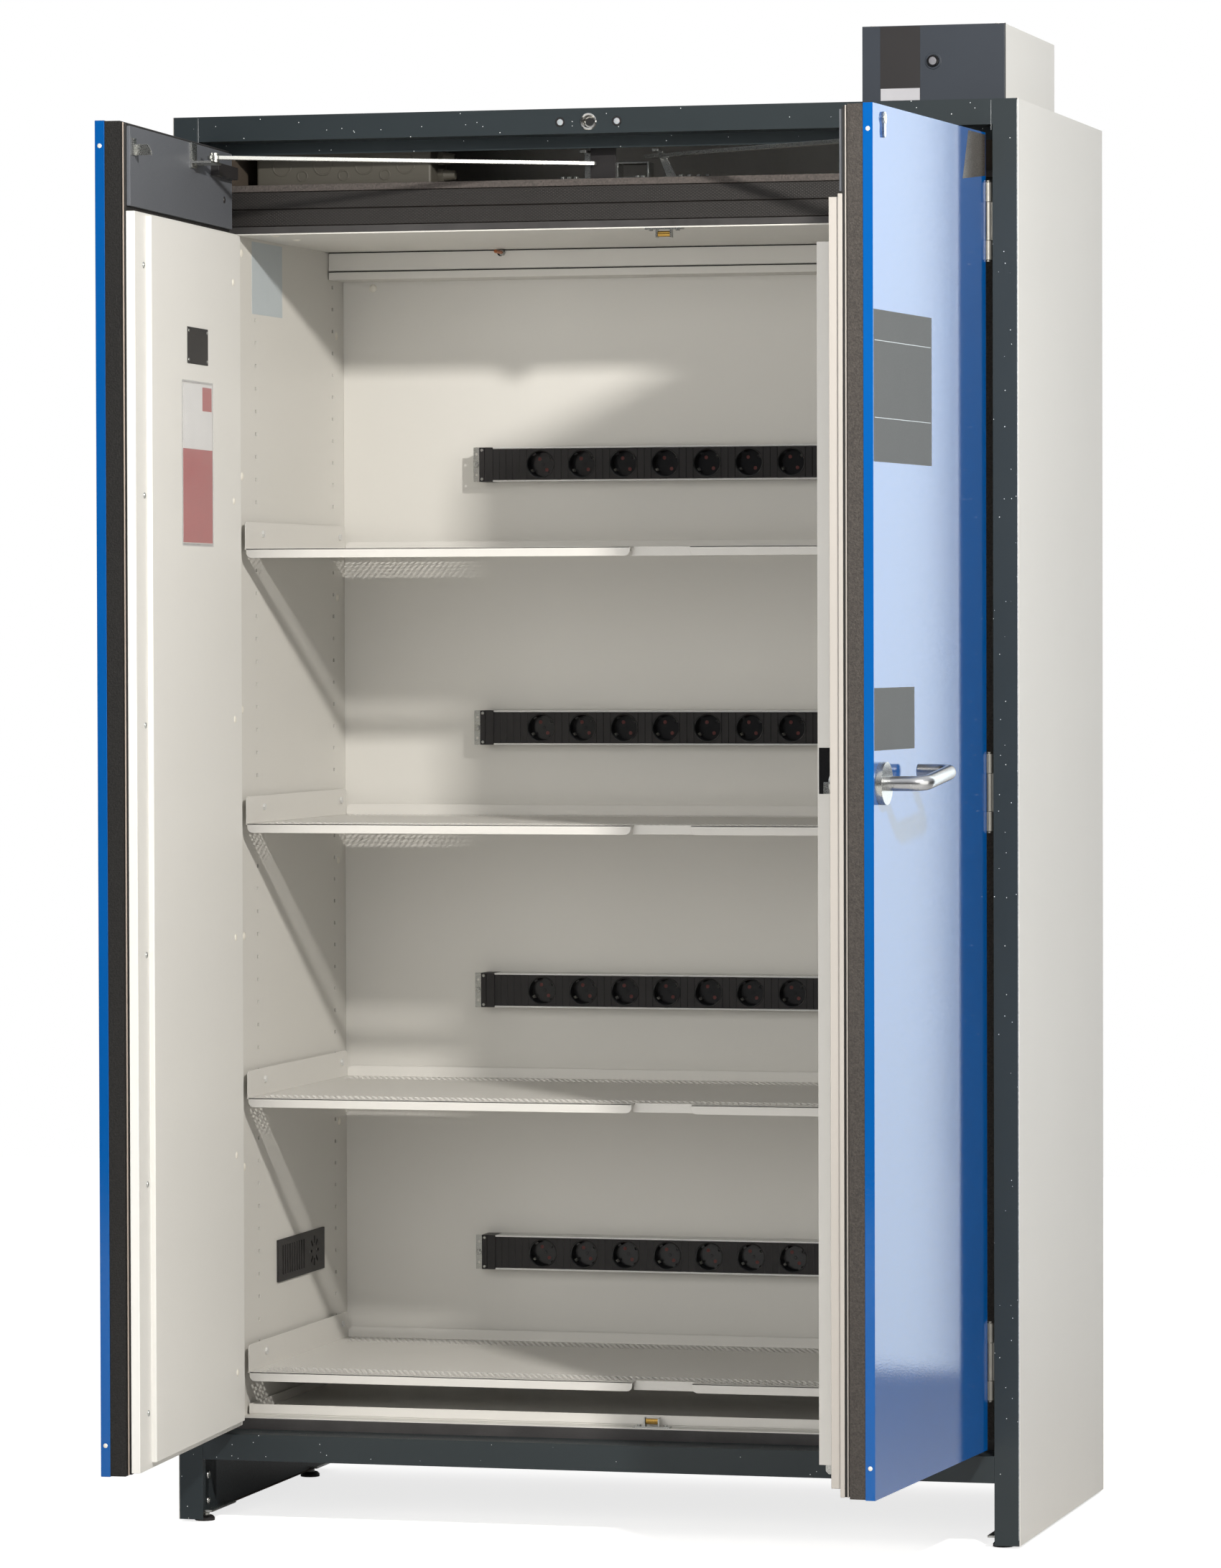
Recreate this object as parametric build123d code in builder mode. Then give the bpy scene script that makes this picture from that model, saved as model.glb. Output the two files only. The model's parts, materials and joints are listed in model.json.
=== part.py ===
from build123d import *
from math import cos, hypot, radians, sin
import os

os.makedirs("parts", exist_ok=True)

# Battery cabinet, millimetres. X to the right, Y to the back, Z up.
# The origin is on the floor, under the middle of the cabinet's front.

# Outer frame
cabinet_width = 1193.0
cabinet_depth = 615.0
cabinet_top = 1953.0
frame_foot = 4.0  # lowest edge of the posts and side panels
sheet = 1.5  # steel sheet of the outer casing
post_width = 34.0
post_depth = 60.0
post_flange_foot = 17.0  # the post's inner flange stops above the foot bracket
header_height = 34.5
lip_setback = 50.0
lip_height = 16.5
lamp_level = 1934.5
lamp_pitch = 40.0
lamp_radius = 6.0
sounder_radius = 11.5
rail_bottom = 88.3
rail_height = 36.7
rail_flange = 40.0
plinth_top = 90.0
bead_heights = (560.0, 1020.0, 1480.0)  # stiffening beads of the rear panel
bead_half = cabinet_width / 2 - 116.5
entry_places = (-430.0, -390.0)  # cable entries in the roof
entry_inset = 95.0
entry_radius = 12.5

# Storage chamber
side_wall = 71.5  # from the cabinet's side to the chamber
inner_width = cabinet_width - 2 * side_wall
chamber_front = 62.0
rear_wall = 45.0
chamber_back = cabinet_depth - rear_wall
chamber_floor = 142.0
chamber_ceiling = 1792.0
liner = 2.0
joint_gap = 0.2  # between boards and sheets that meet
board_roof = 67.5  # thickness of the fire board over the chamber
seal_thickness = 4.0
seal_foot = 112.0
seal_groove = 1.5
seal_band = 24.0
seal_lip = 10.0
seal_gap = 1.2

# Perforated uprights
slot_pitch = 32.0
slot_count = 50
slot_first = 174.0
slot_height = 5.0
slot_length = 7.0
slot_columns = (chamber_front + 86.5, chamber_back - 54.5)

# Shelves
shelf_tops = (1356.0, 972.0, 588.0, 204.0)
shelf_clear = 8.0  # on each side
shelf_width = inner_width - 2 * shelf_clear
shelf_front = chamber_front + 8.0
shelf_back_gap = 25.0
shelf_depth = chamber_back - shelf_back_gap - shelf_front
shelf_lip = 13.0
shelf_lip_round = 8.0
shelf_side = 37.5
shelf_rear = 15.0
notch_width = 85.0
notch_depth = 20.0
vent_slots = 14
vent_length = 40.0
vent_width = 7.0
vent_inset = 40.0

# Sump tray
sump_clear = 3.5
sump_width = inner_width - 2 * sump_clear
sump_front = chamber_front + 26.0
sump_back_gap = 12.0
sump_depth = chamber_back - sump_back_gap - sump_front
sump_height = 15.0

# Extraction duct along the back of the ceiling
duct_depth = 76.0
duct_front = chamber_back - duct_depth
duct_height = 39.0
duct_band = 26.0
duct_clear = 1.0

# Socket strips
strip_heights = (1482.0, 1099.5, 717.0, 334.5)
strip_middle = 3.0
strip_length = 579.0
strip_height = 50.0
strip_wall = 2.5
strip_depth = 38.0
strip_gap = 2.0
strip_front = chamber_back - strip_gap - strip_depth
cap_width = 20.5
bracket_width = 9.0
socket_count = 8
socket_pitch = 62.3
socket_radius = 19.5
socket_depth = 17.0
module_depth = 21.5
module_gap = 0.2

# Doors, measured in the closed position: u from the hinge edge, w from the outer face
hinge_inset = 42.0  # from the cabinet's side to the hinge axis
hinge_x = cabinet_width / 2 - hinge_inset
hinge_y = -1.0
open_angle = 86.4
edge_gap = 6.0  # from the hinge axis to the door's hinge edge
meeting_gap = 2.0  # from the middle to each closed door
door_width = hinge_x - edge_gap - meeting_gap
door_bottom = 134.0
door_top = 1907.0
skin_depth = 13.0
core_depth = 34.0
core_inset = 0.8
seal_depth = 41.0
seal_inset = 4.0
plate_depth = 46.0
plate_bottom = 1796.0
plate_top = 1900.0
tray_top = 1790.0
tray_bottom = 139.0
tray_end = door_width - 2.0
panel_depth = 60.0
panel_inset = 19.0

# Hinges
hinge_heights = (1788.6, 1020.9, 253.1)
hinge_length = 104.0
knuckle_radius = 5.5
knuckle_length = 26.0
pin_radius = 2.5
running_gap = 0.1
leaf_depth = 32.0
leaf_thickness = 1.8
leaf_start = 5.0
knuckle_gap = 0.4

# Lever handle, latch and bolts
spindle_u = door_width - 30.5
spindle_z = 1045.0
spindle_radius = 5.0
rose_radius = 27.5
rose_height = 9.0
lever_radius = 9.5
lever_reach = 58.0
lever_length = 130.0
lever_return = 45.0
lever_bend = 16.0
latch_w = 62.0
latch_thickness = 4.0
latch_reach = 31.0
cover_u = (door_width - 115.0, door_width - 43.0)
cover_depth = 87.0
cover_bottom = 172.0
cover_top = 1735.0
window_height = 58.0
bolt_travel = 14.0
top_bolt_u = door_width - 86.0
top_bolt_radius = 5.0
top_bolt_tip = 1772.0
low_bolt_u = door_width - 65.0
low_bolt_width = 16.0
low_bolt_tip = 158.5
bolt_w = 76.5
bolt_thickness = 12.0
bolt_gap = 15.0

# Key cylinder
cylinder_u = door_width - 47.5
cylinder_z = 1890.0
cylinder_radius = 8.5
cylinder_height = 33.0
cylinder_proud = 3.0
cylinder_deep = 30.0
cylinder_stem = 5.0
plug_radius = 6.5

# Door stays: a rail pivots on each door and runs through a hook over the chamber
stay_u = 190.0
stay_w = 68.0
stay_width = 14.0
stay_thickness = 5.0
stay_levels = {-1: 1882.0, 1: 1890.0}
stay_hooks = {-1: (-18.0, 62.0), 1: (74.0, 62.0)}
stay_overrun = 12.0
stay_pin = 4.0
stay_arm = 1872.0
hook_thickness = 3.5
hook_top = 1900.0
hook_y = 81.0

# Roller catches
roller_radius = 4.0
roller_length = 17.0
roller_pin = 1.5
roller_places = {"top": (88.7, 1784.0), "bottom": (67.0, 150.5)}
roller_y = 70.0

# Fan unit on the roof
fan_left = 378.0
fan_right = 574.0
fan_front_y = 20.0
fan_back_y = 372.0
fan_height = 102.5
fan_x = 476.0
fan_y = 165.0
impeller_radius = 62.0
impeller_height = 38.0
impeller_blades = 12
shaft_radius = 3.0
spigot_radius = 37.5
spigot_length = 40.0
spigot_z = 2004.0
button_z = 2007.0
button_radius = 8.0
button_proud = 5.0

# Levelling feet
foot_inset = 29.0
foot_x = cabinet_width / 2 - foot_inset
foot_rows = {"front": 28.0, "rear": cabinet_depth - 95.0}
pad_radius = 14.0
pad_height = 7.0
stud_radius = 4.0
stud_top = 45.0
bracket_thickness = 3.0
bracket_x = (foot_x - 17.5, foot_x + 24.5)
bracket_front = 22.0  # reach of a foot bracket before and behind the stud
bracket_back = 87.0

# Derived sizes
half_width = cabinet_width / 2
panel_x = half_width - sheet  # inner face of the side panels
post_x = panel_x - post_width  # inner face of the posts
half_inner = inner_width / 2
board_x = half_inner + liner
board_top = chamber_ceiling + liner + board_roof
seal_back = chamber_front + seal_thickness
back_face = cabinet_depth - sheet
notch_centre = hinge_x - edge_gap - (cover_u[0] + cover_u[1]) / 2  # where the closed lock cover stands


def slab(x, y, z, mode=Mode.ADD):
    """Rectangular block between the given limits in the current plane."""
    middle = ((x[0] + x[1]) / 2, (y[0] + y[1]) / 2, (z[0] + z[1]) / 2)
    with Locations(middle):
        Box(abs(x[1] - x[0]), abs(y[1] - y[0]), abs(z[1] - z[0]), mode=mode)


def both(a, b):
    """The same span on the left and on the right side."""
    return ((-b, -a), (a, b))


def door_plane(side):
    """Plane at a door's hinge axis, turned with the open door. side: -1 left, 1 right."""
    angle = radians(open_angle) * side
    return Plane(origin=(side * hinge_x, hinge_y, 0), x_dir=(cos(angle), sin(angle), 0),
                 z_dir=(0, 0, 1))


def door_u(side, *values):
    """Distances from the hinge edge as x values of the door plane."""
    placed = [-side * (edge_gap + value) for value in values]
    return placed[0] if len(placed) == 1 else tuple(placed)


def door_w(*values):
    """Depths behind the outer face as y values of the door plane."""
    placed = [value - hinge_y for value in values]
    return placed[0] if len(placed) == 1 else tuple(placed)


def door_point(side, u, w, z):
    """A point on the open door, in the cabinet's frame."""
    return door_plane(side).from_local_coords(Vector(door_u(side, u), door_w(w), z))


def door_slab(side, u, w, z, mode=Mode.ADD):
    slab(door_u(side, *u), door_w(*w), z, mode=mode)


def door_face(side, u, w, z):
    """Sketch plane on a door: x runs along the door, y up, normal out of the outer face."""
    frame = door_plane(side)
    return Plane(origin=door_point(side, u, w, z), x_dir=frame.x_dir, z_dir=-frame.y_dir)


def finish(builder, name):
    builder.part.label = name
    export_step(builder.part, f"parts/{name}.step")


def make_posts():
    with BuildPart() as posts:
        for side, span in zip((-1, 1), both(post_x, panel_x)):
            inner, outer = sorted(span, key=abs)
            slab((inner, outer), (0, sheet), (frame_foot, cabinet_top))
            for wall, foot in ((inner, post_flange_foot), (outer - side * sheet, frame_foot)):
                slab((wall, wall + side * sheet), (sheet, post_depth), (foot, cabinet_top - sheet))
            # Two fixing holes low in the inner flange
            with Locations(Plane(origin=(inner, post_depth / 2, 0), x_dir=(0, 1, 0), z_dir=(-side, 0, 0))):
                with Locations((0, 27), (0, 62)):
                    Cylinder(3.5, 4 * sheet, mode=Mode.SUBTRACT)
    finish(posts, "posts")


def make_header():
    top = cabinet_top
    bottom = top - header_height
    lip = bottom - lip_height
    with BuildPart() as header:
        with BuildSketch(Plane.YZ.offset(-post_x)):
            with BuildLine():
                Polyline((0, top), (0, bottom), (lip_setback, bottom), (lip_setback, lip),
                         (lip_setback + sheet, lip), (lip_setback + sheet, bottom + sheet),
                         (sheet, bottom + sheet), (sheet, top - 2 * sheet),
                         (post_depth / 2, top - 2 * sheet), (post_depth / 2, top - sheet),
                         (sheet, top - sheet), (sheet, top), close=True)
            make_face()
        extrude(amount=2 * post_x)
        with Locations(Plane(origin=(0, 0, lamp_level), x_dir=(1, 0, 0), z_dir=(0, -1, 0))):
            with Locations((-lamp_pitch, 0), (lamp_pitch, 0)):
                Cylinder(lamp_radius - 1.5, 4 * sheet, mode=Mode.SUBTRACT)
            Cylinder(sounder_radius - 2, 4 * sheet, mode=Mode.SUBTRACT)
    finish(header, "header")


def make_signal_lamps():
    front = Plane(origin=(0, 0, lamp_level), x_dir=(1, 0, 0), z_dir=(0, -1, 0))
    with BuildPart() as lamps:
        with BuildSketch(front.offset(-8)):
            with Locations((-lamp_pitch, 0), (lamp_pitch, 0)):
                Circle(lamp_radius - 1.6)
            Circle(sounder_radius - 2.1)
        extrude(amount=8)
        with BuildSketch(front):
            with Locations((-lamp_pitch, 0), (lamp_pitch, 0)):
                Circle(lamp_radius)
            Circle(sounder_radius)
        extrude(amount=2.5)
    finish(lamps, "signal_lamps")


def make_bottom_rail():
    top = rail_bottom + rail_height
    with BuildPart() as rail:
        with BuildSketch(Plane.YZ.offset(-post_x)):
            with BuildLine():
                Polyline((0, rail_bottom), (0, top), (chamber_front - 1, top),
                         (chamber_front - 1, top - sheet), (sheet, top - sheet),
                         (sheet, rail_bottom + sheet), (rail_flange, rail_bottom + sheet),
                         (rail_flange, rail_bottom), close=True)
            make_face()
        extrude(amount=2 * post_x)
    finish(rail, "bottom_rail")


def make_casing():
    with BuildPart() as panels:
        for side in (-1, 1):
            slab((side * panel_x, side * half_width), (0.5, cabinet_depth), (frame_foot, cabinet_top))
            slab((side * (panel_x - 20), side * panel_x), (back_face, cabinet_depth),
                 (frame_foot, cabinet_top))
    finish(panels, "side_panels")

    with BuildPart() as rear:
        slab((-panel_x + 20, panel_x - 20), (back_face, cabinet_depth), (rail_bottom, cabinet_top))
        # Shallow stiffening beads
        for z in bead_heights:
            slab((-bead_half, bead_half), (cabinet_depth, cabinet_depth + sheet), (z - 8, z + 8))
    finish(rear, "rear_panel")

    with BuildPart() as roof:
        slab((-panel_x, panel_x), (sheet, back_face), (cabinet_top - sheet, cabinet_top))
        with Locations((fan_x, fan_y, cabinet_top)):
            Cylinder(42, 4 * sheet, mode=Mode.SUBTRACT)
        with Locations(*[(x, cabinet_depth - entry_inset, cabinet_top) for x in entry_places]):
            Cylinder(entry_radius, 4 * sheet, mode=Mode.SUBTRACT)
    finish(roof, "roof_panel")


def make_fire_boards():
    with BuildPart() as boards:
        for side in (-1, 1):
            slab((side * board_x, side * panel_x), (seal_back, back_face),
                 (post_flange_foot, cabinet_top - sheet))
            with Locations((side * foot_x, foot_rows["rear"], post_flange_foot)):
                Cylinder(2 * stud_radius, 2 * stud_top, mode=Mode.SUBTRACT)
        # Roof, floor and rear boards lie between them, each cut to size
        across = (-board_x + joint_gap, board_x - joint_gap)
        opening = (chamber_floor - liner, chamber_ceiling + liner)
        slab(across, (seal_back, back_face), (opening[1], board_top))
        slab(across, (seal_back, back_face), (plinth_top, opening[0]))
        slab(across, (chamber_back + liner, back_face), (opening[0] + joint_gap, opening[1] - joint_gap))
    finish(boards, "fire_boards")


def make_chamber():
    depth = (chamber_front, chamber_back + liner)
    with BuildPart() as walls:
        for span in both(half_inner, board_x):
            slab(span, depth, (chamber_floor - liner, chamber_ceiling + liner))
        with Locations(Plane.YZ):
            middle = slot_first + slot_pitch * (slot_count - 1) / 2
            for column in slot_columns:
                with Locations((column, middle)):
                    with GridLocations(0, slot_pitch, 1, slot_count):
                        Box(slot_length, slot_height, 2 * board_x + 2, mode=Mode.SUBTRACT)
    finish(walls, "chamber_walls")

    # Back, ceiling and floor sheets
    across = (-half_inner, half_inner)
    with BuildPart() as lining:
        slab(across, (chamber_back, chamber_back + liner), (chamber_floor - liner, chamber_ceiling + liner))
        sheets = (chamber_front, chamber_back - joint_gap)
        slab(across, sheets, (chamber_ceiling, chamber_ceiling + liner))
        slab(across, sheets, (chamber_floor - liner, chamber_floor))
    finish(lining, "chamber_lining")

    middle = (seal_foot + board_top) / 2
    opening_low = chamber_floor - liner
    opening_high = chamber_ceiling + liner
    grooves = (opening_high + seal_lip, opening_high + seal_lip + seal_band,
               opening_high + seal_lip + 2 * seal_band)
    with BuildPart() as frame:
        with BuildSketch(Plane.XZ.offset(-seal_back)):
            with Locations((0, middle)):
                Rectangle(2 * post_x, board_top - seal_foot)
            with Locations((0, (opening_low + opening_high) / 2)):
                Rectangle(2 * board_x, opening_high - opening_low, mode=Mode.SUBTRACT)
        extrude(amount=seal_thickness)
        for z in grooves:
            slab((-post_x, post_x), (chamber_front, chamber_front + seal_gap), (z, z + seal_groove),
                 mode=Mode.SUBTRACT)
    finish(frame, "seal_frame")

    with BuildPart() as duct:
        right = half_inner - duct_clear
        top = chamber_ceiling - duct_clear
        low = top - duct_height
        band = top - duct_band
        with BuildSketch(Plane.YZ.offset(-right)):
            with BuildLine():
                Polyline((chamber_back, top), (duct_front, top), (duct_front, band),
                         (duct_front + 2, band), (duct_front + 2, band - 1.5),
                         (duct_front, band - 1.5), (duct_front, low), (chamber_back, low), close=True)
            make_face()
            with Locations(((duct_front + chamber_back) / 2 + 1, (top + low) / 2)):
                Rectangle(chamber_back - duct_front - 8, duct_height - 6, mode=Mode.SUBTRACT)
        extrude(amount=2 * right)
    finish(duct, "exhaust_duct")


def make_shelf(number, top):
    half = shelf_width / 2
    back = shelf_front + shelf_depth
    front_plane = Plane.XZ.offset(-shelf_front - sheet)
    with BuildPart() as shelf:
        slab((-half, half), (shelf_front, back), (top - sheet, top))
        # Front lip with rounded lower corners, open at the door's lock cover
        with BuildSketch(front_plane):
            for left, right in ((-half + 2, notch_centre - notch_width / 2),
                                (notch_centre + notch_width / 2, half - 2)):
                with Locations(((left + right) / 2, top - sheet - (shelf_lip - sheet) / 2)):
                    lip = Rectangle(right - left, shelf_lip - sheet)
                fillet(lip.vertices().group_by(Axis.Y)[0], shelf_lip_round)
        extrude(amount=sheet)
        slab((notch_centre - notch_width / 2, notch_centre + notch_width / 2),
             (shelf_front - 1, shelf_front + notch_depth), (top - shelf_lip, top + 1), mode=Mode.SUBTRACT)
        slab((notch_centre - notch_width / 2 - 3, notch_centre + notch_width / 2 + 3),
             (shelf_front + notch_depth, shelf_front + notch_depth + sheet),
             (top - shelf_lip, top - sheet))
        # Side and rear upstands
        for span in both(half - sheet, half):
            slab(span, (shelf_front, back), (top, top + shelf_side))
        upper = shelf.edges().filter_by(Axis.X).group_by(Axis.Z)[-1]
        fillet(upper, 6)
        slab((-half + sheet, half - sheet), (back - sheet, back), (top, top + shelf_rear))
        # Vent slots along the front and the back
        for row in (shelf_front + vent_inset, back - vent_inset):
            with Locations((0, row, top)):
                with GridLocations(shelf_width / (vent_slots + 1), 0, vent_slots, 1):
                    with Locations(Rotation(0, 0, 30)):
                        Box(vent_length, vent_width, 4 * sheet, mode=Mode.SUBTRACT)
    finish(shelf, f"shelf_{number}")


def make_shelf_screws():
    with BuildPart() as screws:
        for top in shelf_tops:
            for side in (-1, 1):
                for column in slot_columns:
                    face = side * (shelf_width / 2 - sheet)
                    with BuildSketch(Plane(origin=(face, column, top + shelf_side - 16),
                                           x_dir=(0, side, 0), z_dir=(-side, 0, 0))):
                        RegularPolygon(5, 6)
                    extrude(amount=3)
                    # Spacer between the upstand and the chamber's wall
                    with BuildSketch(Plane(origin=(side * half_inner, column, top + shelf_side - 16),
                                           x_dir=(0, side, 0), z_dir=(-side, 0, 0))):
                        RegularPolygon(4.5, 6)
                    extrude(amount=half_inner - shelf_width / 2)
    finish(screws, "shelf_screws")


def make_sump():
    half = sump_width / 2
    back = sump_front + sump_depth
    foot = chamber_floor + sheet + joint_gap
    rim = (foot, chamber_floor + sump_height)
    with BuildPart() as tray:
        slab((-half, half), (sump_front, back), (chamber_floor, chamber_floor + sheet))
        # Rim strips stand on the floor sheet, the side ones between the front and the back
        for span in ((sump_front, sump_front + sheet), (back - sheet, back)):
            slab((-half, half), span, rim)
        for span in both(half - sheet, half):
            slab(span, (sump_front + sheet + joint_gap, back - sheet - joint_gap), rim)
    finish(tray, "sump_tray")


def make_socket_strips():
    left = strip_middle - strip_length / 2
    low = strip_height / 2
    inside = low - strip_wall
    with BuildPart() as profiles:
        for level in strip_heights:
            with BuildSketch(Plane.YZ.offset(left)):
                with BuildLine():
                    Polyline((strip_front, level + low), (strip_front, level + inside),
                             (strip_front + strip_depth - strip_wall, level + inside),
                             (strip_front + strip_depth - strip_wall, level - inside),
                             (strip_front, level - inside), (strip_front, level - low),
                             (strip_front + strip_depth, level - low),
                             (strip_front + strip_depth, level + low), close=True)
                make_face()
            extrude(amount=strip_length)
    finish(profiles, "strip_profiles")

    with BuildPart() as inserts:
        run = socket_pitch * socket_count
        for level in strip_heights:
            with Locations((strip_middle, strip_front + 0.5 + module_depth / 2, level)):
                with GridLocations(socket_pitch, 0, socket_count, 1):
                    Box(socket_pitch - module_gap, module_depth, 2 * inside)
            # Plain end modules fill the rest of the profile
            for side in (-1, 1):
                slab((strip_middle + side * (run / 2 + module_gap), strip_middle + side * strip_length / 2),
                     (strip_front + 0.5, strip_front + 0.5 + module_depth), (level - inside, level + inside))
        for level in strip_heights:
            with Locations(Plane(origin=(strip_middle, strip_front + 0.5, level), x_dir=(1, 0, 0),
                                 z_dir=(0, -1, 0))):
                with GridLocations(socket_pitch, 0, socket_count, 1):
                    Hole(socket_radius, depth=socket_depth)
    finish(inserts, "socket_inserts")

    with BuildPart() as ends:
        for level in strip_heights:
            for side in (-1, 1):
                edge = strip_middle + side * strip_length / 2
                slab((edge, edge + side * cap_width), (strip_front - 1, strip_front + strip_depth),
                     (level - low, level + low))
                # Wall tab with three holes
                tab = edge + side * cap_width
                slab((tab, tab + side * sheet), (strip_front + 8, chamber_back), (level - low, level + low))
                slab((tab, tab + side * bracket_width), (chamber_back - sheet, chamber_back),
                     (level - low, level + low))
    finish(ends, "strip_ends")


def make_grille():
    with BuildPart() as grille:
        slab((-half_inner, -half_inner + 3), (229, 450), (314, 374))
        with Locations(Plane.YZ.offset(-half_inner)):
            with Locations((400, 344)):
                with PolarLocations(16, 8):
                    Box(11, 4, 10, mode=Mode.SUBTRACT)
            with Locations((300, 344)):
                with GridLocations(11, 0, 10, 1):
                    Box(5, 42, 10, mode=Mode.SUBTRACT)
    finish(grille, "wall_grille")


def make_top_compartment():
    floor = board_top
    with BuildPart() as box:
        slab((-507, -253), (100, 180), (floor, floor + 51))
        fillet(box.edges().filter_by(Axis.Z), 4)
        front = Plane(origin=(-380, 100, floor + 26), x_dir=(1, 0, 0), z_dir=(0, -1, 0))
        for places, radius in ((((-90, 2), (-30, 2), (30, 2), (90, 2)), 14), (((-60, -12), (0, -12), (60, -12)), 8)):
            with BuildSketch(front):
                with Locations(*places):
                    Circle(radius)
                    Circle(radius - 2, mode=Mode.SUBTRACT)
            extrude(amount=0.8)
    finish(box, "junction_box")

    with BuildPart() as glands:
        for z in (floor + 14, floor + 37):
            with BuildSketch(Plane.YZ.offset(-253)):
                with Locations((140, z)):
                    RegularPolygon(10, 6)
            extrude(amount=8)
            with BuildSketch(Plane.YZ.offset(-245)):
                with Locations((140, z)):
                    Circle(8.5)
            extrude(amount=16, taper=8)
    finish(glands, "cable_glands")

    with BuildPart() as centre:
        slab((-18, 18), (78, 80), (floor, floor + 43.5))
        slab((-18, 18), (80, 100), (floor, floor + 2))
    finish(centre, "centre_plate")

    # Hooks over the stay rails, guide channel and fixing bolts
    with BuildPart() as guides:
        slab((-27, -18.5), (hook_y, hook_y + hook_thickness), (floor, hook_top))
        slab((-40, -18.5), (hook_y, hook_y + 22), (floor, floor + 2))
        with BuildSketch(Plane.XZ.offset(-hook_y - hook_thickness)):
            with BuildLine():
                Polyline((75, hook_top), (84, hook_top), (104, floor), (90, floor), close=True)
            make_face()
        extrude(amount=hook_thickness)
        slab((84, 116), (hook_y, hook_y + 22), (floor, floor + 2))
        for low in (-27, 75):
            slab((low, low + 8.5), (56, hook_y + hook_thickness),
                 (hook_top - hook_thickness, hook_top))
        slab((18.5, 64), (80, 110), (floor, floor + 22.5))
        slab((20.5, 62), (79, 111), (floor + 2, floor + 20.5), mode=Mode.SUBTRACT)
        with BuildSketch(Plane.XY.offset(floor)):
            with Locations(*[(x, 68) for x in (-55, -45.5, -36, 51, 59.5, 113, 125, 138, 151)]):
                RegularPolygon(3.6, 6)
        extrude(amount=3)
    finish(guides, "stay_guides")


def make_roller_catches():
    ear = roller_length / 2 + 0.6
    with BuildPart() as brackets:
        for (x, z), base in zip(roller_places.values(), (chamber_ceiling, chamber_floor)):
            inward = 1 if z > base else -1
            slab((x - 26, x + 26), (chamber_front, chamber_front + 16), (base, base + 2 * inward))
            for side in (-1, 1):
                inner = x + side * ear
                slab((inner, inner + 2 * side), (roller_y - 6, roller_y + 6), (base, z + 5 * inward))
                with Locations((x + side * 19, roller_y, base + 3 * inward)):
                    Cylinder(3, 2)
            with Locations(Plane(origin=(x, roller_y, z), x_dir=(0, 1, 0), z_dir=(1, 0, 0))):
                Cylinder(roller_pin, 2 * ear + 4)
    finish(brackets, "roller_brackets")

    for name, (x, z) in roller_places.items():
        with BuildPart() as roller:
            with BuildSketch(Plane(origin=(x - roller_length / 2, roller_y, z), x_dir=(0, 1, 0),
                                   z_dir=(1, 0, 0))):
                Circle(roller_radius)
                Circle(roller_pin + running_gap, mode=Mode.SUBTRACT)
            extrude(amount=roller_length)
        finish(roller, f"roller_{name}")


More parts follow.
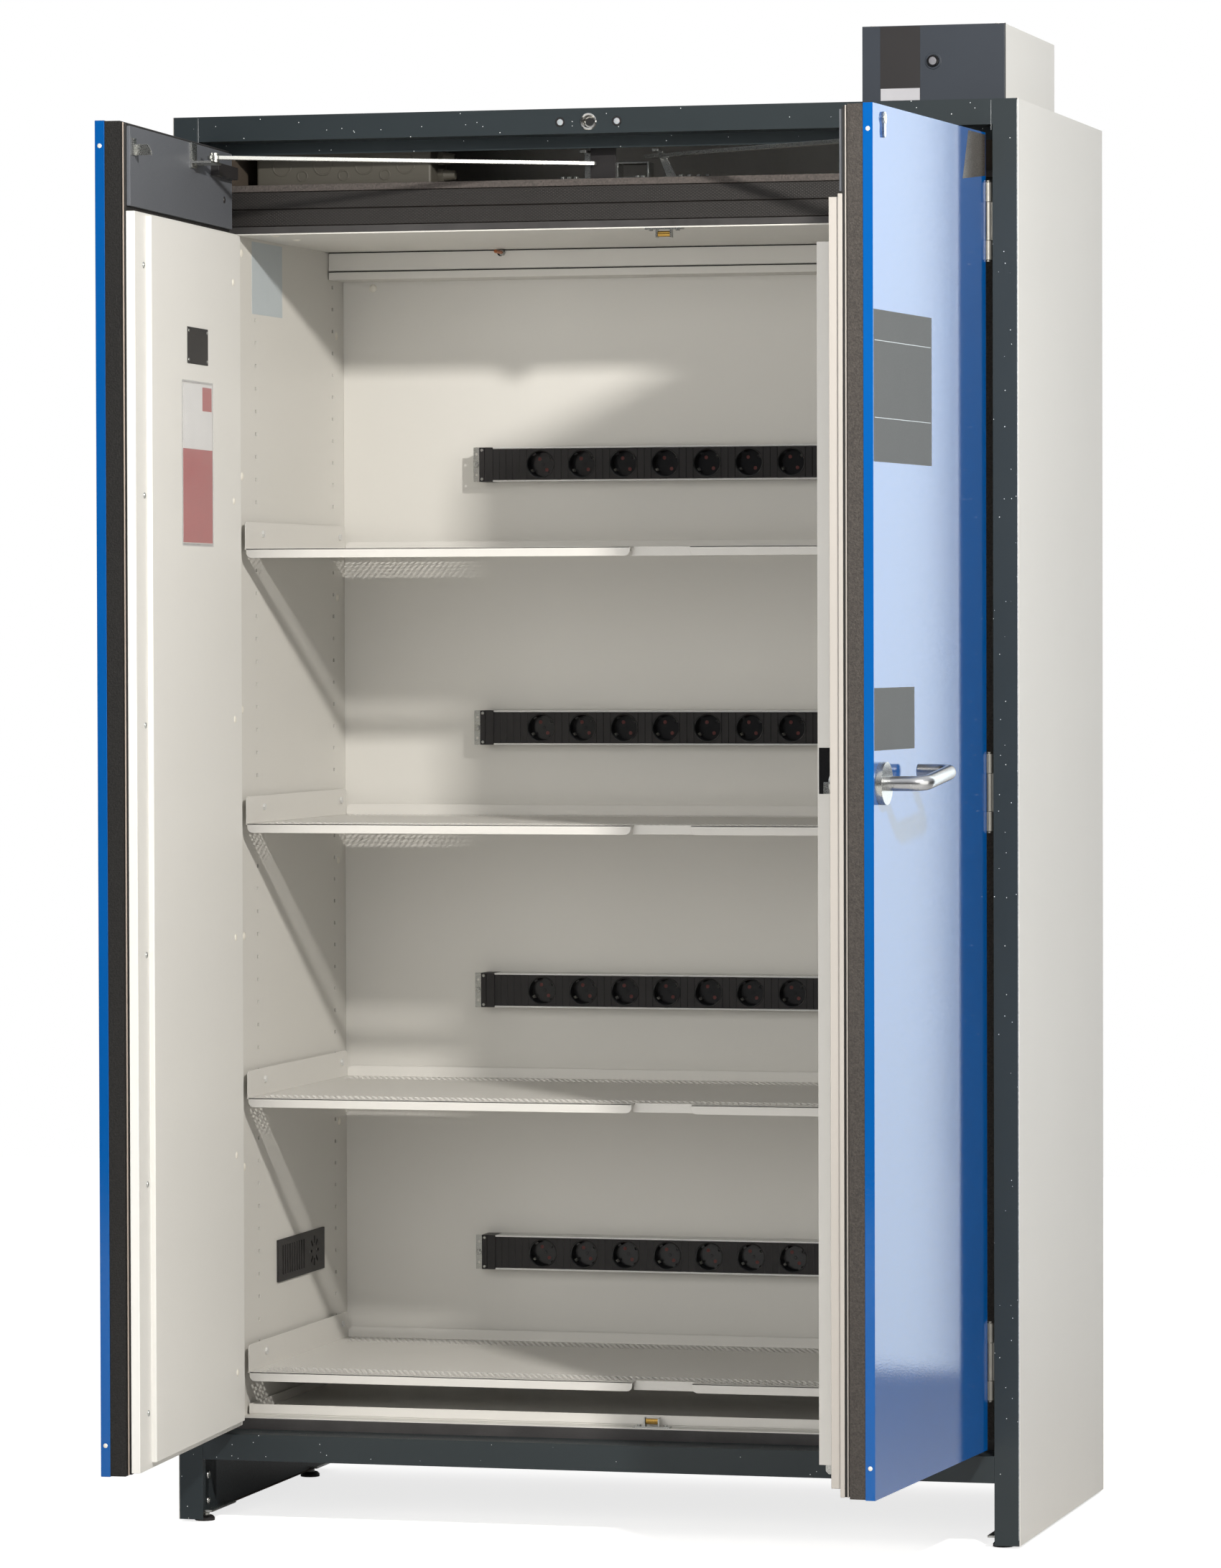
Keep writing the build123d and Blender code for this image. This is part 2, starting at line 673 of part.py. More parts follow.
def make_fan_unit():
    top = cabinet_top + fan_height
    across = (fan_left, fan_right)
    button = Plane(origin=(fan_x, fan_front_y, button_z), x_dir=(1, 0, 0), z_dir=(0, -1, 0))
    with BuildPart() as front:
        slab(across, (fan_front_y, fan_front_y + 2), (cabinet_top, top))
        with BuildSketch(button):
            Circle(button_radius + 3)
        extrude(amount=1.5)
        with Locations(button):
            Cylinder(button_radius + running_gap, 10, mode=Mode.SUBTRACT)
    finish(front, "fan_front")

    with BuildPart() as cover:
        slab(across, (fan_front_y + 2, fan_back_y), (cabinet_top, top))
        slab((fan_left + sheet, fan_right - sheet), (fan_front_y + 1, fan_back_y - sheet),
             (cabinet_top - 1, top - sheet), mode=Mode.SUBTRACT)
        with Locations(Plane(origin=(fan_x, fan_back_y, spigot_z), x_dir=(1, 0, 0), z_dir=(0, 1, 0))):
            Cylinder(spigot_radius, 10, mode=Mode.SUBTRACT)
        # Lid screws
        for x in (fan_left + 12, fan_right - 12):
            for y in (fan_front_y + 14, fan_back_y - 14):
                with Locations((x, y, top + 0.8)):
                    Cylinder(3.5, 1.6)
    finish(cover, "fan_cover")

    with BuildPart() as spigot:
        with BuildSketch(Plane(origin=(fan_x, fan_back_y - sheet, spigot_z), x_dir=(-1, 0, 0),
                               z_dir=(0, 1, 0))):
            Circle(spigot_radius)
            Circle(spigot_radius - sheet, mode=Mode.SUBTRACT)
        extrude(amount=spigot_length + sheet)
        with BuildSketch(Plane(origin=(fan_x, fan_back_y, spigot_z), x_dir=(-1, 0, 0), z_dir=(0, 1, 0))):
            Circle(spigot_radius + 8)
            Circle(spigot_radius - sheet, mode=Mode.SUBTRACT)
        extrude(amount=1.5)
    finish(spigot, "exhaust_spigot")

    deck = cabinet_top + impeller_height + 12
    with BuildPart() as motor:
        with BuildSketch(Plane.XY.offset(deck)):
            with Locations((fan_x, fan_y)):
                Circle(impeller_radius + 14)
        extrude(amount=2)
        with Locations((fan_x, fan_y, deck + 18)):
            Cylinder(28, 32)
        with BuildSketch(Plane.XY.offset(cabinet_top)):
            with Locations((fan_x, fan_y)):
                with PolarLocations(impeller_radius + 8, 3, start_angle=90):
                    Circle(4)
        extrude(amount=deck - cabinet_top)
        with Locations((fan_x, fan_y, deck)):
            Cylinder(shaft_radius, 2 * impeller_height, align=(Align.CENTER, Align.CENTER, Align.MAX))
        with Locations((fan_x, fan_y, cabinet_top)):
            Cylinder(4 * shaft_radius, 3 * impeller_height, align=(Align.CENTER, Align.CENTER, Align.MAX),
                     mode=Mode.SUBTRACT)
    finish(motor, "fan_motor")

    low = cabinet_top + 5
    with BuildPart() as impeller:
        with BuildSketch(Plane.XY.offset(low)):
            with Locations((fan_x, fan_y)):
                Circle(impeller_radius)
                Circle(impeller_radius - 18, mode=Mode.SUBTRACT)
        extrude(amount=1.5)
        with BuildSketch(Plane.XY.offset(low + impeller_height - 1.5)):
            with Locations((fan_x, fan_y)):
                Circle(impeller_radius)
        extrude(amount=1.5)
        with BuildSketch(Plane.XY.offset(low + 1.5)):
            with Locations((fan_x, fan_y)):
                with PolarLocations(impeller_radius - 10, impeller_blades):
                    Rectangle(15, 1.5, rotation=35)
        extrude(amount=impeller_height - 3)
        with Locations((fan_x, fan_y, low + impeller_height)):
            Cylinder(11, 16, align=(Align.CENTER, Align.CENTER, Align.MAX))
            Cylinder(shaft_radius + running_gap, 4 * impeller_height, mode=Mode.SUBTRACT)
    finish(impeller, "fan_impeller")

    with BuildPart() as push:
        with BuildSketch(button.offset(-3)):
            Circle(button_radius)
        extrude(amount=button_proud + 3)
        fillet(push.faces().sort_by(Axis.Y)[0].edges(), 1.2)
        # Collar that keeps the button behind the panel
        with BuildSketch(button.offset(-4.5)):
            Circle(button_radius + 1.5)
        extrude(amount=2)
    finish(push, "fan_button")


def make_feet():
    under = post_flange_foot - bracket_thickness
    with BuildPart() as brackets:
        for side in (-1, 1):
            for y in foot_rows.values():
                slab((side * bracket_x[0], side * bracket_x[1]), (y - bracket_front, y + bracket_back),
                     (under, post_flange_foot))
                with Locations((side * foot_x, y, under)):
                    Cylinder(stud_radius + running_gap, 4 * bracket_thickness, mode=Mode.SUBTRACT)
                # Cap screws on each side of the stud
                with BuildSketch(Plane.XY.offset(under)):
                    with Locations((side * foot_x, y + 55), (side * foot_x, y + 75)):
                        RegularPolygon(4.5, 6)
                extrude(amount=-3)
    finish(brackets, "foot_brackets")

    for row, y in foot_rows.items():
        for name, side in (("left", -1), ("right", 1)):
            with BuildPart() as foot:
                with BuildSketch(Plane.XY):
                    with Locations((side * foot_x, y)):
                        Circle(pad_radius)
                extrude(amount=pad_height)
                chamfer(foot.faces().sort_by(Axis.Z)[-1].edges(), 3)
                with BuildSketch(Plane.XY.offset(pad_height)):
                    with Locations((side * foot_x, y)):
                        RegularPolygon(7, 6)
                extrude(amount=4)
                with Locations((side * foot_x, y, pad_height)):
                    Cylinder(stud_radius, stud_top - pad_height,
                             align=(Align.CENTER, Align.CENTER, Align.MIN))
            finish(foot, f"foot_{row}_{name}")


def make_frame_hinges():
    with BuildPart() as hinges:
        for side in (-1, 1):
            for z in hinge_heights:
                mid = hinge_length - 2 * knuckle_length - 2 * knuckle_gap
                slab((side * (post_x - leaf_thickness), side * post_x), (leaf_start, leaf_depth),
                     (z - hinge_length / 2, z + hinge_length / 2))
                slab((side * (hinge_x + 4), side * post_x), (hinge_y, leaf_start),
                     (z - mid / 2, z + mid / 2))
                with Locations((side * hinge_x, hinge_y, z)):
                    Cylinder(knuckle_radius, mid)
                    Cylinder(pin_radius, hinge_length + 1)
                for end in (-1, 1):
                    with Locations((side * hinge_x, hinge_y, z + end * (hinge_length / 2 + 1.5))):
                        Cylinder(pin_radius + 1.2, 2)
    finish(hinges, "frame_hinges")


def make_door_hinges(side, name):
    with BuildPart(door_plane(side)) as hinges:
        for z in hinge_heights:
            low = z - hinge_length / 2
            high = z + hinge_length / 2
            door_slab(side, (-leaf_thickness, 0), (leaf_start, leaf_depth), (low, high))
            for start in (low, high - knuckle_length):
                span = (start, start + knuckle_length)
                door_slab(side, (-leaf_thickness, 0), (leaf_start - 6, leaf_start), span)
                with Locations((0, 0, start + knuckle_length / 2)):
                    Cylinder(knuckle_radius, knuckle_length)
                    Cylinder(pin_radius + running_gap, knuckle_length + 2, mode=Mode.SUBTRACT)
    finish(hinges, f"{name}_hinges")


def make_door_body(side, name):
    inside = (sheet, door_width - sheet)
    core = (core_inset, door_width - core_inset)
    seal = (seal_inset, door_width - seal_inset)
    with BuildPart(door_plane(side)) as skin:
        door_slab(side, (0, door_width), (0, skin_depth), (door_bottom, door_top))
        door_slab(side, inside, (sheet, skin_depth + 1), (door_bottom + sheet, door_top - sheet),
                  mode=Mode.SUBTRACT)
        if side > 0:
            lock_holes(side)
    finish(skin, f"{name}_skin")

    with BuildPart(door_plane(side)) as body:
        door_slab(side, inside, (sheet, skin_depth), (door_bottom + sheet, door_top - sheet))
        door_slab(side, core, (skin_depth, core_depth), (door_bottom + core_inset, door_top - core_inset))
        door_slab(side, seal, (core_depth, seal_depth), (door_bottom + seal_inset, door_top - seal_inset))
        if side > 0:
            lock_holes(side)
    finish(body, f"{name}_core")

    with BuildPart(door_plane(side)) as plate:
        door_slab(side, (8, door_width - 6.5), (seal_depth, plate_depth), (plate_bottom, plate_top))
        if side < 0:
            door_slab(side, (20, 125), (plate_depth, panel_depth - 2), (1863, 1880))
    finish(plate, f"{name}_top_plate")


def lock_holes(side):
    """Bores for the key cylinder and the handle's spindle through a door layer."""
    with Locations(Plane(origin=(door_u(side, spindle_u), 0, spindle_z), x_dir=(1, 0, 0),
                         z_dir=(0, 1, 0))):
        Cylinder(spindle_radius + 1, 4 * panel_depth, mode=Mode.SUBTRACT)
    depth = cylinder_deep + cylinder_proud + 2
    drop = cylinder_height - cylinder_radius - cylinder_stem
    with Locations(Plane(origin=(door_u(side, cylinder_u), door_w(-cylinder_proud - 1), cylinder_z),
                         x_dir=(1, 0, 0), z_dir=(0, 1, 0))):
        below = (Align.CENTER, Align.CENTER, Align.MIN)
        Cylinder(cylinder_radius + running_gap, depth, align=below, mode=Mode.SUBTRACT)
        with Locations((0, drop / 2)):
            Box(2 * (cylinder_stem + running_gap), drop, depth, align=below, mode=Mode.SUBTRACT)
        with Locations((0, drop)):
            Cylinder(cylinder_stem + running_gap, depth, align=below, mode=Mode.SUBTRACT)


def cylinder_profile():
    """Outline of the key cylinder around its plug."""
    drop = cylinder_height - cylinder_radius - cylinder_stem
    Circle(cylinder_radius)
    with Locations((0, -drop / 2)):
        Rectangle(2 * cylinder_stem, drop)
    with Locations((0, -drop)):
        Circle(cylinder_stem)


def make_liners():
    with BuildPart(door_plane(-1)) as left:
        door_slab(-1, (4, tray_end), (seal_depth, 53), (tray_bottom, tray_top - 1))
        door_slab(-1, (panel_inset, 487), (53, panel_depth), (147, tray_top - 4))
    finish(left, "left_door_liner")

    with BuildPart(door_plane(1)) as right:
        door_slab(1, (4, tray_end), (seal_depth, 47), (tray_bottom - 2.5, tray_top + 3))
        door_slab(1, (panel_inset, 541), (47, panel_depth), (147, tray_top - 1))
        with Locations(Plane(origin=(door_u(1, spindle_u), 0, spindle_z), x_dir=(1, 0, 0),
                             z_dir=(0, 1, 0))):
            Cylinder(spindle_radius + 1, 4 * panel_depth, mode=Mode.SUBTRACT)
    finish(right, "right_door_liner")


def make_stay_bracket(side, level):
    """Bracket on a door that carries the pivot pin of its stay."""
    low = stay_u - 8
    door_slab(side, (stay_u + 18, stay_u + 46), (plate_depth, plate_depth + 3), (stay_arm - 6, plate_top))
    door_slab(side, (low, stay_u + 46), (plate_depth, stay_w + 8), (stay_arm, stay_arm + 3))
    rail_low = level - stay_thickness / 2
    rail_high = level + stay_thickness / 2
    with Locations((door_u(side, stay_u), door_w(stay_w), stay_arm + 3)):
        Cylinder(7, rail_low - stay_arm - 3 - 0.2, align=(Align.CENTER, Align.CENTER, Align.MIN))
        Cylinder(stay_pin, rail_high + 4 - stay_arm - 3, align=(Align.CENTER, Align.CENTER, Align.MIN))
    with Locations((door_u(side, stay_u), door_w(stay_w), rail_high + 0.3)):
        Cylinder(6.5, 3.5, align=(Align.CENTER, Align.CENTER, Align.MIN))


def make_fittings():
    with BuildPart(door_plane(-1)) as left:
        make_stay_bracket(-1, stay_levels[-1])
        # Edge hook with a quarter disc
        door_slab(-1, (519, 533), (plate_depth, plate_depth + 3), (1862.5, 1884.5))
        with BuildSketch(Plane(origin=door_point(-1, 519, plate_depth + 3, 1862.5),
                               x_dir=door_plane(-1).y_dir, z_dir=door_plane(-1).x_dir)):
            Circle(21)
            Rectangle(21, 14.5, align=(Align.MIN, Align.MIN), mode=Mode.INTERSECT)
        extrude(amount=3)
    finish(left, "left_door_fittings")

    with BuildPart(door_plane(1)) as right:
        make_stay_bracket(1, stay_levels[1])
        with BuildSketch(door_face(1, spindle_u, 0, spindle_z)):
            Circle(rose_radius)
            Circle(lever_radius + running_gap, mode=Mode.SUBTRACT)
        extrude(amount=rose_height)
        with BuildSketch(door_face(1, cylinder_u, -cylinder_proud, cylinder_z)):
            cylinder_profile()
            Circle(plug_radius + running_gap, mode=Mode.SUBTRACT)
        extrude(amount=-cylinder_deep - cylinder_proud)
    finish(right, "right_door_fittings")

    with BuildPart() as plug:
        with BuildSketch(door_face(1, cylinder_u, -cylinder_proud - 0.6, cylinder_z)):
            Circle(plug_radius)
        extrude(amount=-cylinder_deep)
        with BuildSketch(door_face(1, cylinder_u, -cylinder_proud - 1, cylinder_z)):
            Rectangle(1.8, 8)
        extrude(amount=-12, mode=Mode.SUBTRACT)
    finish(plug, "lock_plug")


def make_lock_cover():
    low, high = cover_u
    wall = 2.0
    with BuildPart(door_plane(1)) as cover:
        door_slab(1, cover_u, (panel_depth, cover_depth), (cover_bottom, cover_top))
        door_slab(1, (low + wall, high - wall), (panel_depth - 1, cover_depth - wall),
                  (cover_bottom + wall, cover_top - wall), mode=Mode.SUBTRACT)
        # Window for the latch lever
        door_slab(1, (high - 2 * wall, high + 1), (panel_depth, panel_depth + 8),
                  (spindle_z - window_height / 2, spindle_z + window_height / 2), mode=Mode.SUBTRACT)
        with Locations((door_u(1, top_bolt_u), door_w(bolt_w), cover_top)):
            Cylinder(top_bolt_radius + 0.5, 6 * wall, mode=Mode.SUBTRACT)
        door_slab(1, (low_bolt_u - low_bolt_width / 2 - 0.5, low_bolt_u + low_bolt_width / 2 + 0.5),
                  (bolt_w - bolt_thickness / 2 - 0.5, bolt_w + bolt_thickness / 2 + 0.5),
                  (cover_bottom - 1, cover_bottom + 2 * wall), mode=Mode.SUBTRACT)
    finish(cover, "lock_cover")


def make_bolts():
    with BuildPart(door_plane(1)) as top:
        with Locations((door_u(1, top_bolt_u), door_w(bolt_w), top_bolt_tip)):
            Cylinder(top_bolt_radius, top_bolt_tip - spindle_z - bolt_gap,
                     align=(Align.CENTER, Align.CENTER, Align.MAX))
        chamfer(top.faces().sort_by(Axis.Z)[-1].edges(), 2)
    finish(top, "bolt_top")

    with BuildPart(door_plane(1)) as bottom:
        door_slab(1, (low_bolt_u - low_bolt_width / 2, low_bolt_u + low_bolt_width / 2),
                  (bolt_w - bolt_thickness / 2, bolt_w + bolt_thickness / 2),
                  (low_bolt_tip, spindle_z - bolt_gap))
        tip = bottom.faces().sort_by(Axis.Z)[0].edges().sort_by(SortBy.LENGTH)
        chamfer(tip[-2:], 4)
    finish(bottom, "bolt_bottom")


def make_handle():
    ends = [door_point(1, u, w, spindle_z) for u, w in
            ((spindle_u, -0.5), (spindle_u, -lever_reach), (spindle_u - lever_length, -lever_reach),
             (spindle_u - lever_length, lever_return - lever_reach))]
    with BuildPart() as handle:
        with BuildLine() as path:
            FilletPolyline(*ends, radius=lever_bend)
        with BuildSketch(Plane(origin=path.line @ 0, z_dir=path.line % 0)):
            Circle(lever_radius)
        sweep(path=path.line)
        with BuildSketch(door_face(1, spindle_u, -1, spindle_z)):
            Circle(spindle_radius)
        extrude(amount=-latch_w - latch_thickness - 1)
        # Latch lever inside the door
        with BuildSketch(door_face(1, spindle_u, latch_w, spindle_z)):
            Circle(11)
            with Locations((latch_reach / 2, 0)):
                Rectangle(latch_reach, 9)
        extrude(amount=-latch_thickness)
    finish(handle, "lever_handle")


def make_stays():
    for side, name in ((-1, "left_stay"), (1, "right_stay")):
        pivot = door_point(side, stay_u, stay_w, stay_levels[side])
        across = stay_hooks[side][0] - pivot.X
        back = stay_hooks[side][1] - pivot.Y
        reach = hypot(across, back)
        heading = Vector(across / reach, back / reach, 0)
        half = stay_width / 2
        high = stay_thickness / 2
        with BuildPart(Plane(origin=pivot, x_dir=heading, z_dir=(0, 0, 1))) as rail:
            slab((0, reach + stay_overrun), (-half, half), (-high, high))
            fillet(rail.edges().filter_by(Axis.Z).sort_by(Axis((0, 0, 0), tuple(heading)))[-2:], 5)
            Cylinder(half + 2, stay_thickness)
            Cylinder(stay_pin + running_gap, 3 * stay_thickness, mode=Mode.SUBTRACT)
            slab((20, reach - 20), (-2.5, 2.5), (high - 1.2, high + 1), mode=Mode.SUBTRACT)
        finish(rail, name)


make_posts()
make_header()
make_signal_lamps()
make_bottom_rail()
make_casing()
make_fire_boards()
make_chamber()
for number, top in enumerate(shelf_tops, 1):
    make_shelf(number, top)
make_shelf_screws()
make_sump()
make_socket_strips()
make_grille()
make_top_compartment()
make_roller_catches()
make_fan_unit()
make_feet()
make_frame_hinges()
for side, name in ((-1, "left_door"), (1, "right_door")):
    make_door_body(side, name)
    make_door_hinges(side, name)
make_liners()
make_fittings()
make_lock_cover()
make_bolts()
make_handle()
make_stays()
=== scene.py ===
import json
from math import cos, pi, radians, sin

import bmesh
import bpy
from mathutils import Matrix, Vector


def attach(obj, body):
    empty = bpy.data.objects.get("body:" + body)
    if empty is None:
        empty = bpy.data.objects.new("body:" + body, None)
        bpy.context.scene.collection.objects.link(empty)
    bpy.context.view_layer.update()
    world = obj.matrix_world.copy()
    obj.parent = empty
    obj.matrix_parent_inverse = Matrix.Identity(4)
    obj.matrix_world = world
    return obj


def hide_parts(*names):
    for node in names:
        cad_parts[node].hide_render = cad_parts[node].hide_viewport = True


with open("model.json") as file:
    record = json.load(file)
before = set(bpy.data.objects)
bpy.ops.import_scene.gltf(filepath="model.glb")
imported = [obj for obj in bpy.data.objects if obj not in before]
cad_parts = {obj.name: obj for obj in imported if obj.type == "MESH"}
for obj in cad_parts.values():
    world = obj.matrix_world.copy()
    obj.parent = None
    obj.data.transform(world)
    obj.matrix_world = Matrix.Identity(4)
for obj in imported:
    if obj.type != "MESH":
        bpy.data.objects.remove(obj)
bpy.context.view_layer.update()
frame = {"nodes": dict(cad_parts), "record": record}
nodes = frame["nodes"]
behaviour = frame["record"]["behaviour"]
bodyOf = {node: body for body, members in behaviour["bodies"].items() for node in members}
jointOf = {joint["name"]: joint for joint in behaviour["joints"]}
mm = 0.001
print("frame loaded:", len(nodes), "nodes")


def newMaterial(name, emptied=False):
    material = bpy.data.materials.new(name)
    material.use_nodes = True
    if emptied:
        material.node_tree.nodes.clear()
    return material, material.node_tree


def hexColour(text):
    channels = [int(text[i:i + 2], 16) / 255 for i in (1, 3, 5)]
    linear = [c / 12.92 if c <= 0.04045 else ((c + 0.055) / 1.055) ** 2.4 for c in channels]
    return (*linear, 1.0)


def addNode(tree, kind, inputs=None, **settings):
    node = tree.nodes.new(kind)
    for key, value in settings.items():
        setattr(node, key, value)
    for key, value in (inputs or {}).items():
        if isinstance(value, bpy.types.NodeSocket):
            tree.links.new(value, node.inputs[key])
        else:
            node.inputs[key].default_value = value
    return node


# Finishes. Every pattern is in object space, and its period is a real size in mm.

def newFinish(name, spec):
    material, tree = newMaterial(name)
    shader = tree.nodes["Principled BSDF"]
    place = addNode(tree, "ShaderNodeTexCoord").outputs["Object"]
    for key, value in spec.get("shader", {}).items():
        shader.inputs[key].default_value = value
    shader.inputs["Metallic"].default_value = spec.get("metallic", 0.0)

    # Slow change of colour over the surface
    drift = addNode(tree, "ShaderNodeTexNoise",
                    {"Vector": place, "Scale": 1 / (spec["drift"] * mm), "Detail": 3.0})
    tint = addNode(tree, "ShaderNodeMix", {0: drift.outputs["Fac"]}, data_type="RGBA")
    tint.inputs[6].default_value = hexColour(spec["colours"][0])
    tint.inputs[7].default_value = hexColour(spec["colours"][1])
    colour = tint.outputs[2]

    # Fine grain, which also moves the gloss and the relief. Most of its values lie between 0.3 and 0.7
    scale = 1 / (spec["grain"] * mm)
    stretch = spec.get("stretch")
    if stretch:
        place = addNode(tree, "ShaderNodeMapping", {"Vector": place, "Scale": stretch}).outputs[0]
    grain = addNode(tree, "ShaderNodeTexNoise",
                    {"Vector": place, "Scale": scale, "Detail": spec.get("detail", 2.0)})
    low, high = spec["roughness"]
    gloss = addNode(tree, "ShaderNodeMapRange",
                    {"Value": grain.outputs["Fac"], "From Min": 0.3, "From Max": 0.7,
                     "To Min": low, "To Max": high})
    tree.links.new(gloss.outputs[0], shader.inputs["Roughness"])
    height = grain.outputs["Fac"]

    # Near-white specks mixed into the base colour: painted glints
    if "paintedGlints" in spec:
        glint = spec["paintedGlints"]
        cells = addNode(tree, "ShaderNodeTexVoronoi",
                        {"Vector": place, "Scale": 1 / (glint["pitch"] * mm)})
        near = addNode(tree, "ShaderNodeMath", {0: cells.outputs["Distance"], 1: glint["radius"]},
                       operation="LESS_THAN")
        pick = addNode(tree, "ShaderNodeSeparateColor", {0: cells.outputs["Color"]})
        chosen = addNode(tree, "ShaderNodeMath", {0: pick.outputs[0], 1: glint["share"]},
                         operation="LESS_THAN")
        mask = addNode(tree, "ShaderNodeMath", {0: near.outputs[0], 1: chosen.outputs[0]},
                       operation="MULTIPLY")
        glintColour = addNode(tree, "ShaderNodeMix", {0: mask.outputs[0], 6: colour}, data_type="RGBA")
        glintColour.inputs[7].default_value = hexColour(glint["colour"])
        colour = glintColour.outputs[2]
    tree.links.new(colour, shader.inputs["Base Color"])

    bump = addNode(tree, "ShaderNodeBump",
                   {"Height": height, "Distance": spec["relief"] * mm, "Strength": spec.get("strength", 0.5)})
    tree.links.new(bump.outputs[0], shader.inputs["Normal"])
    return material


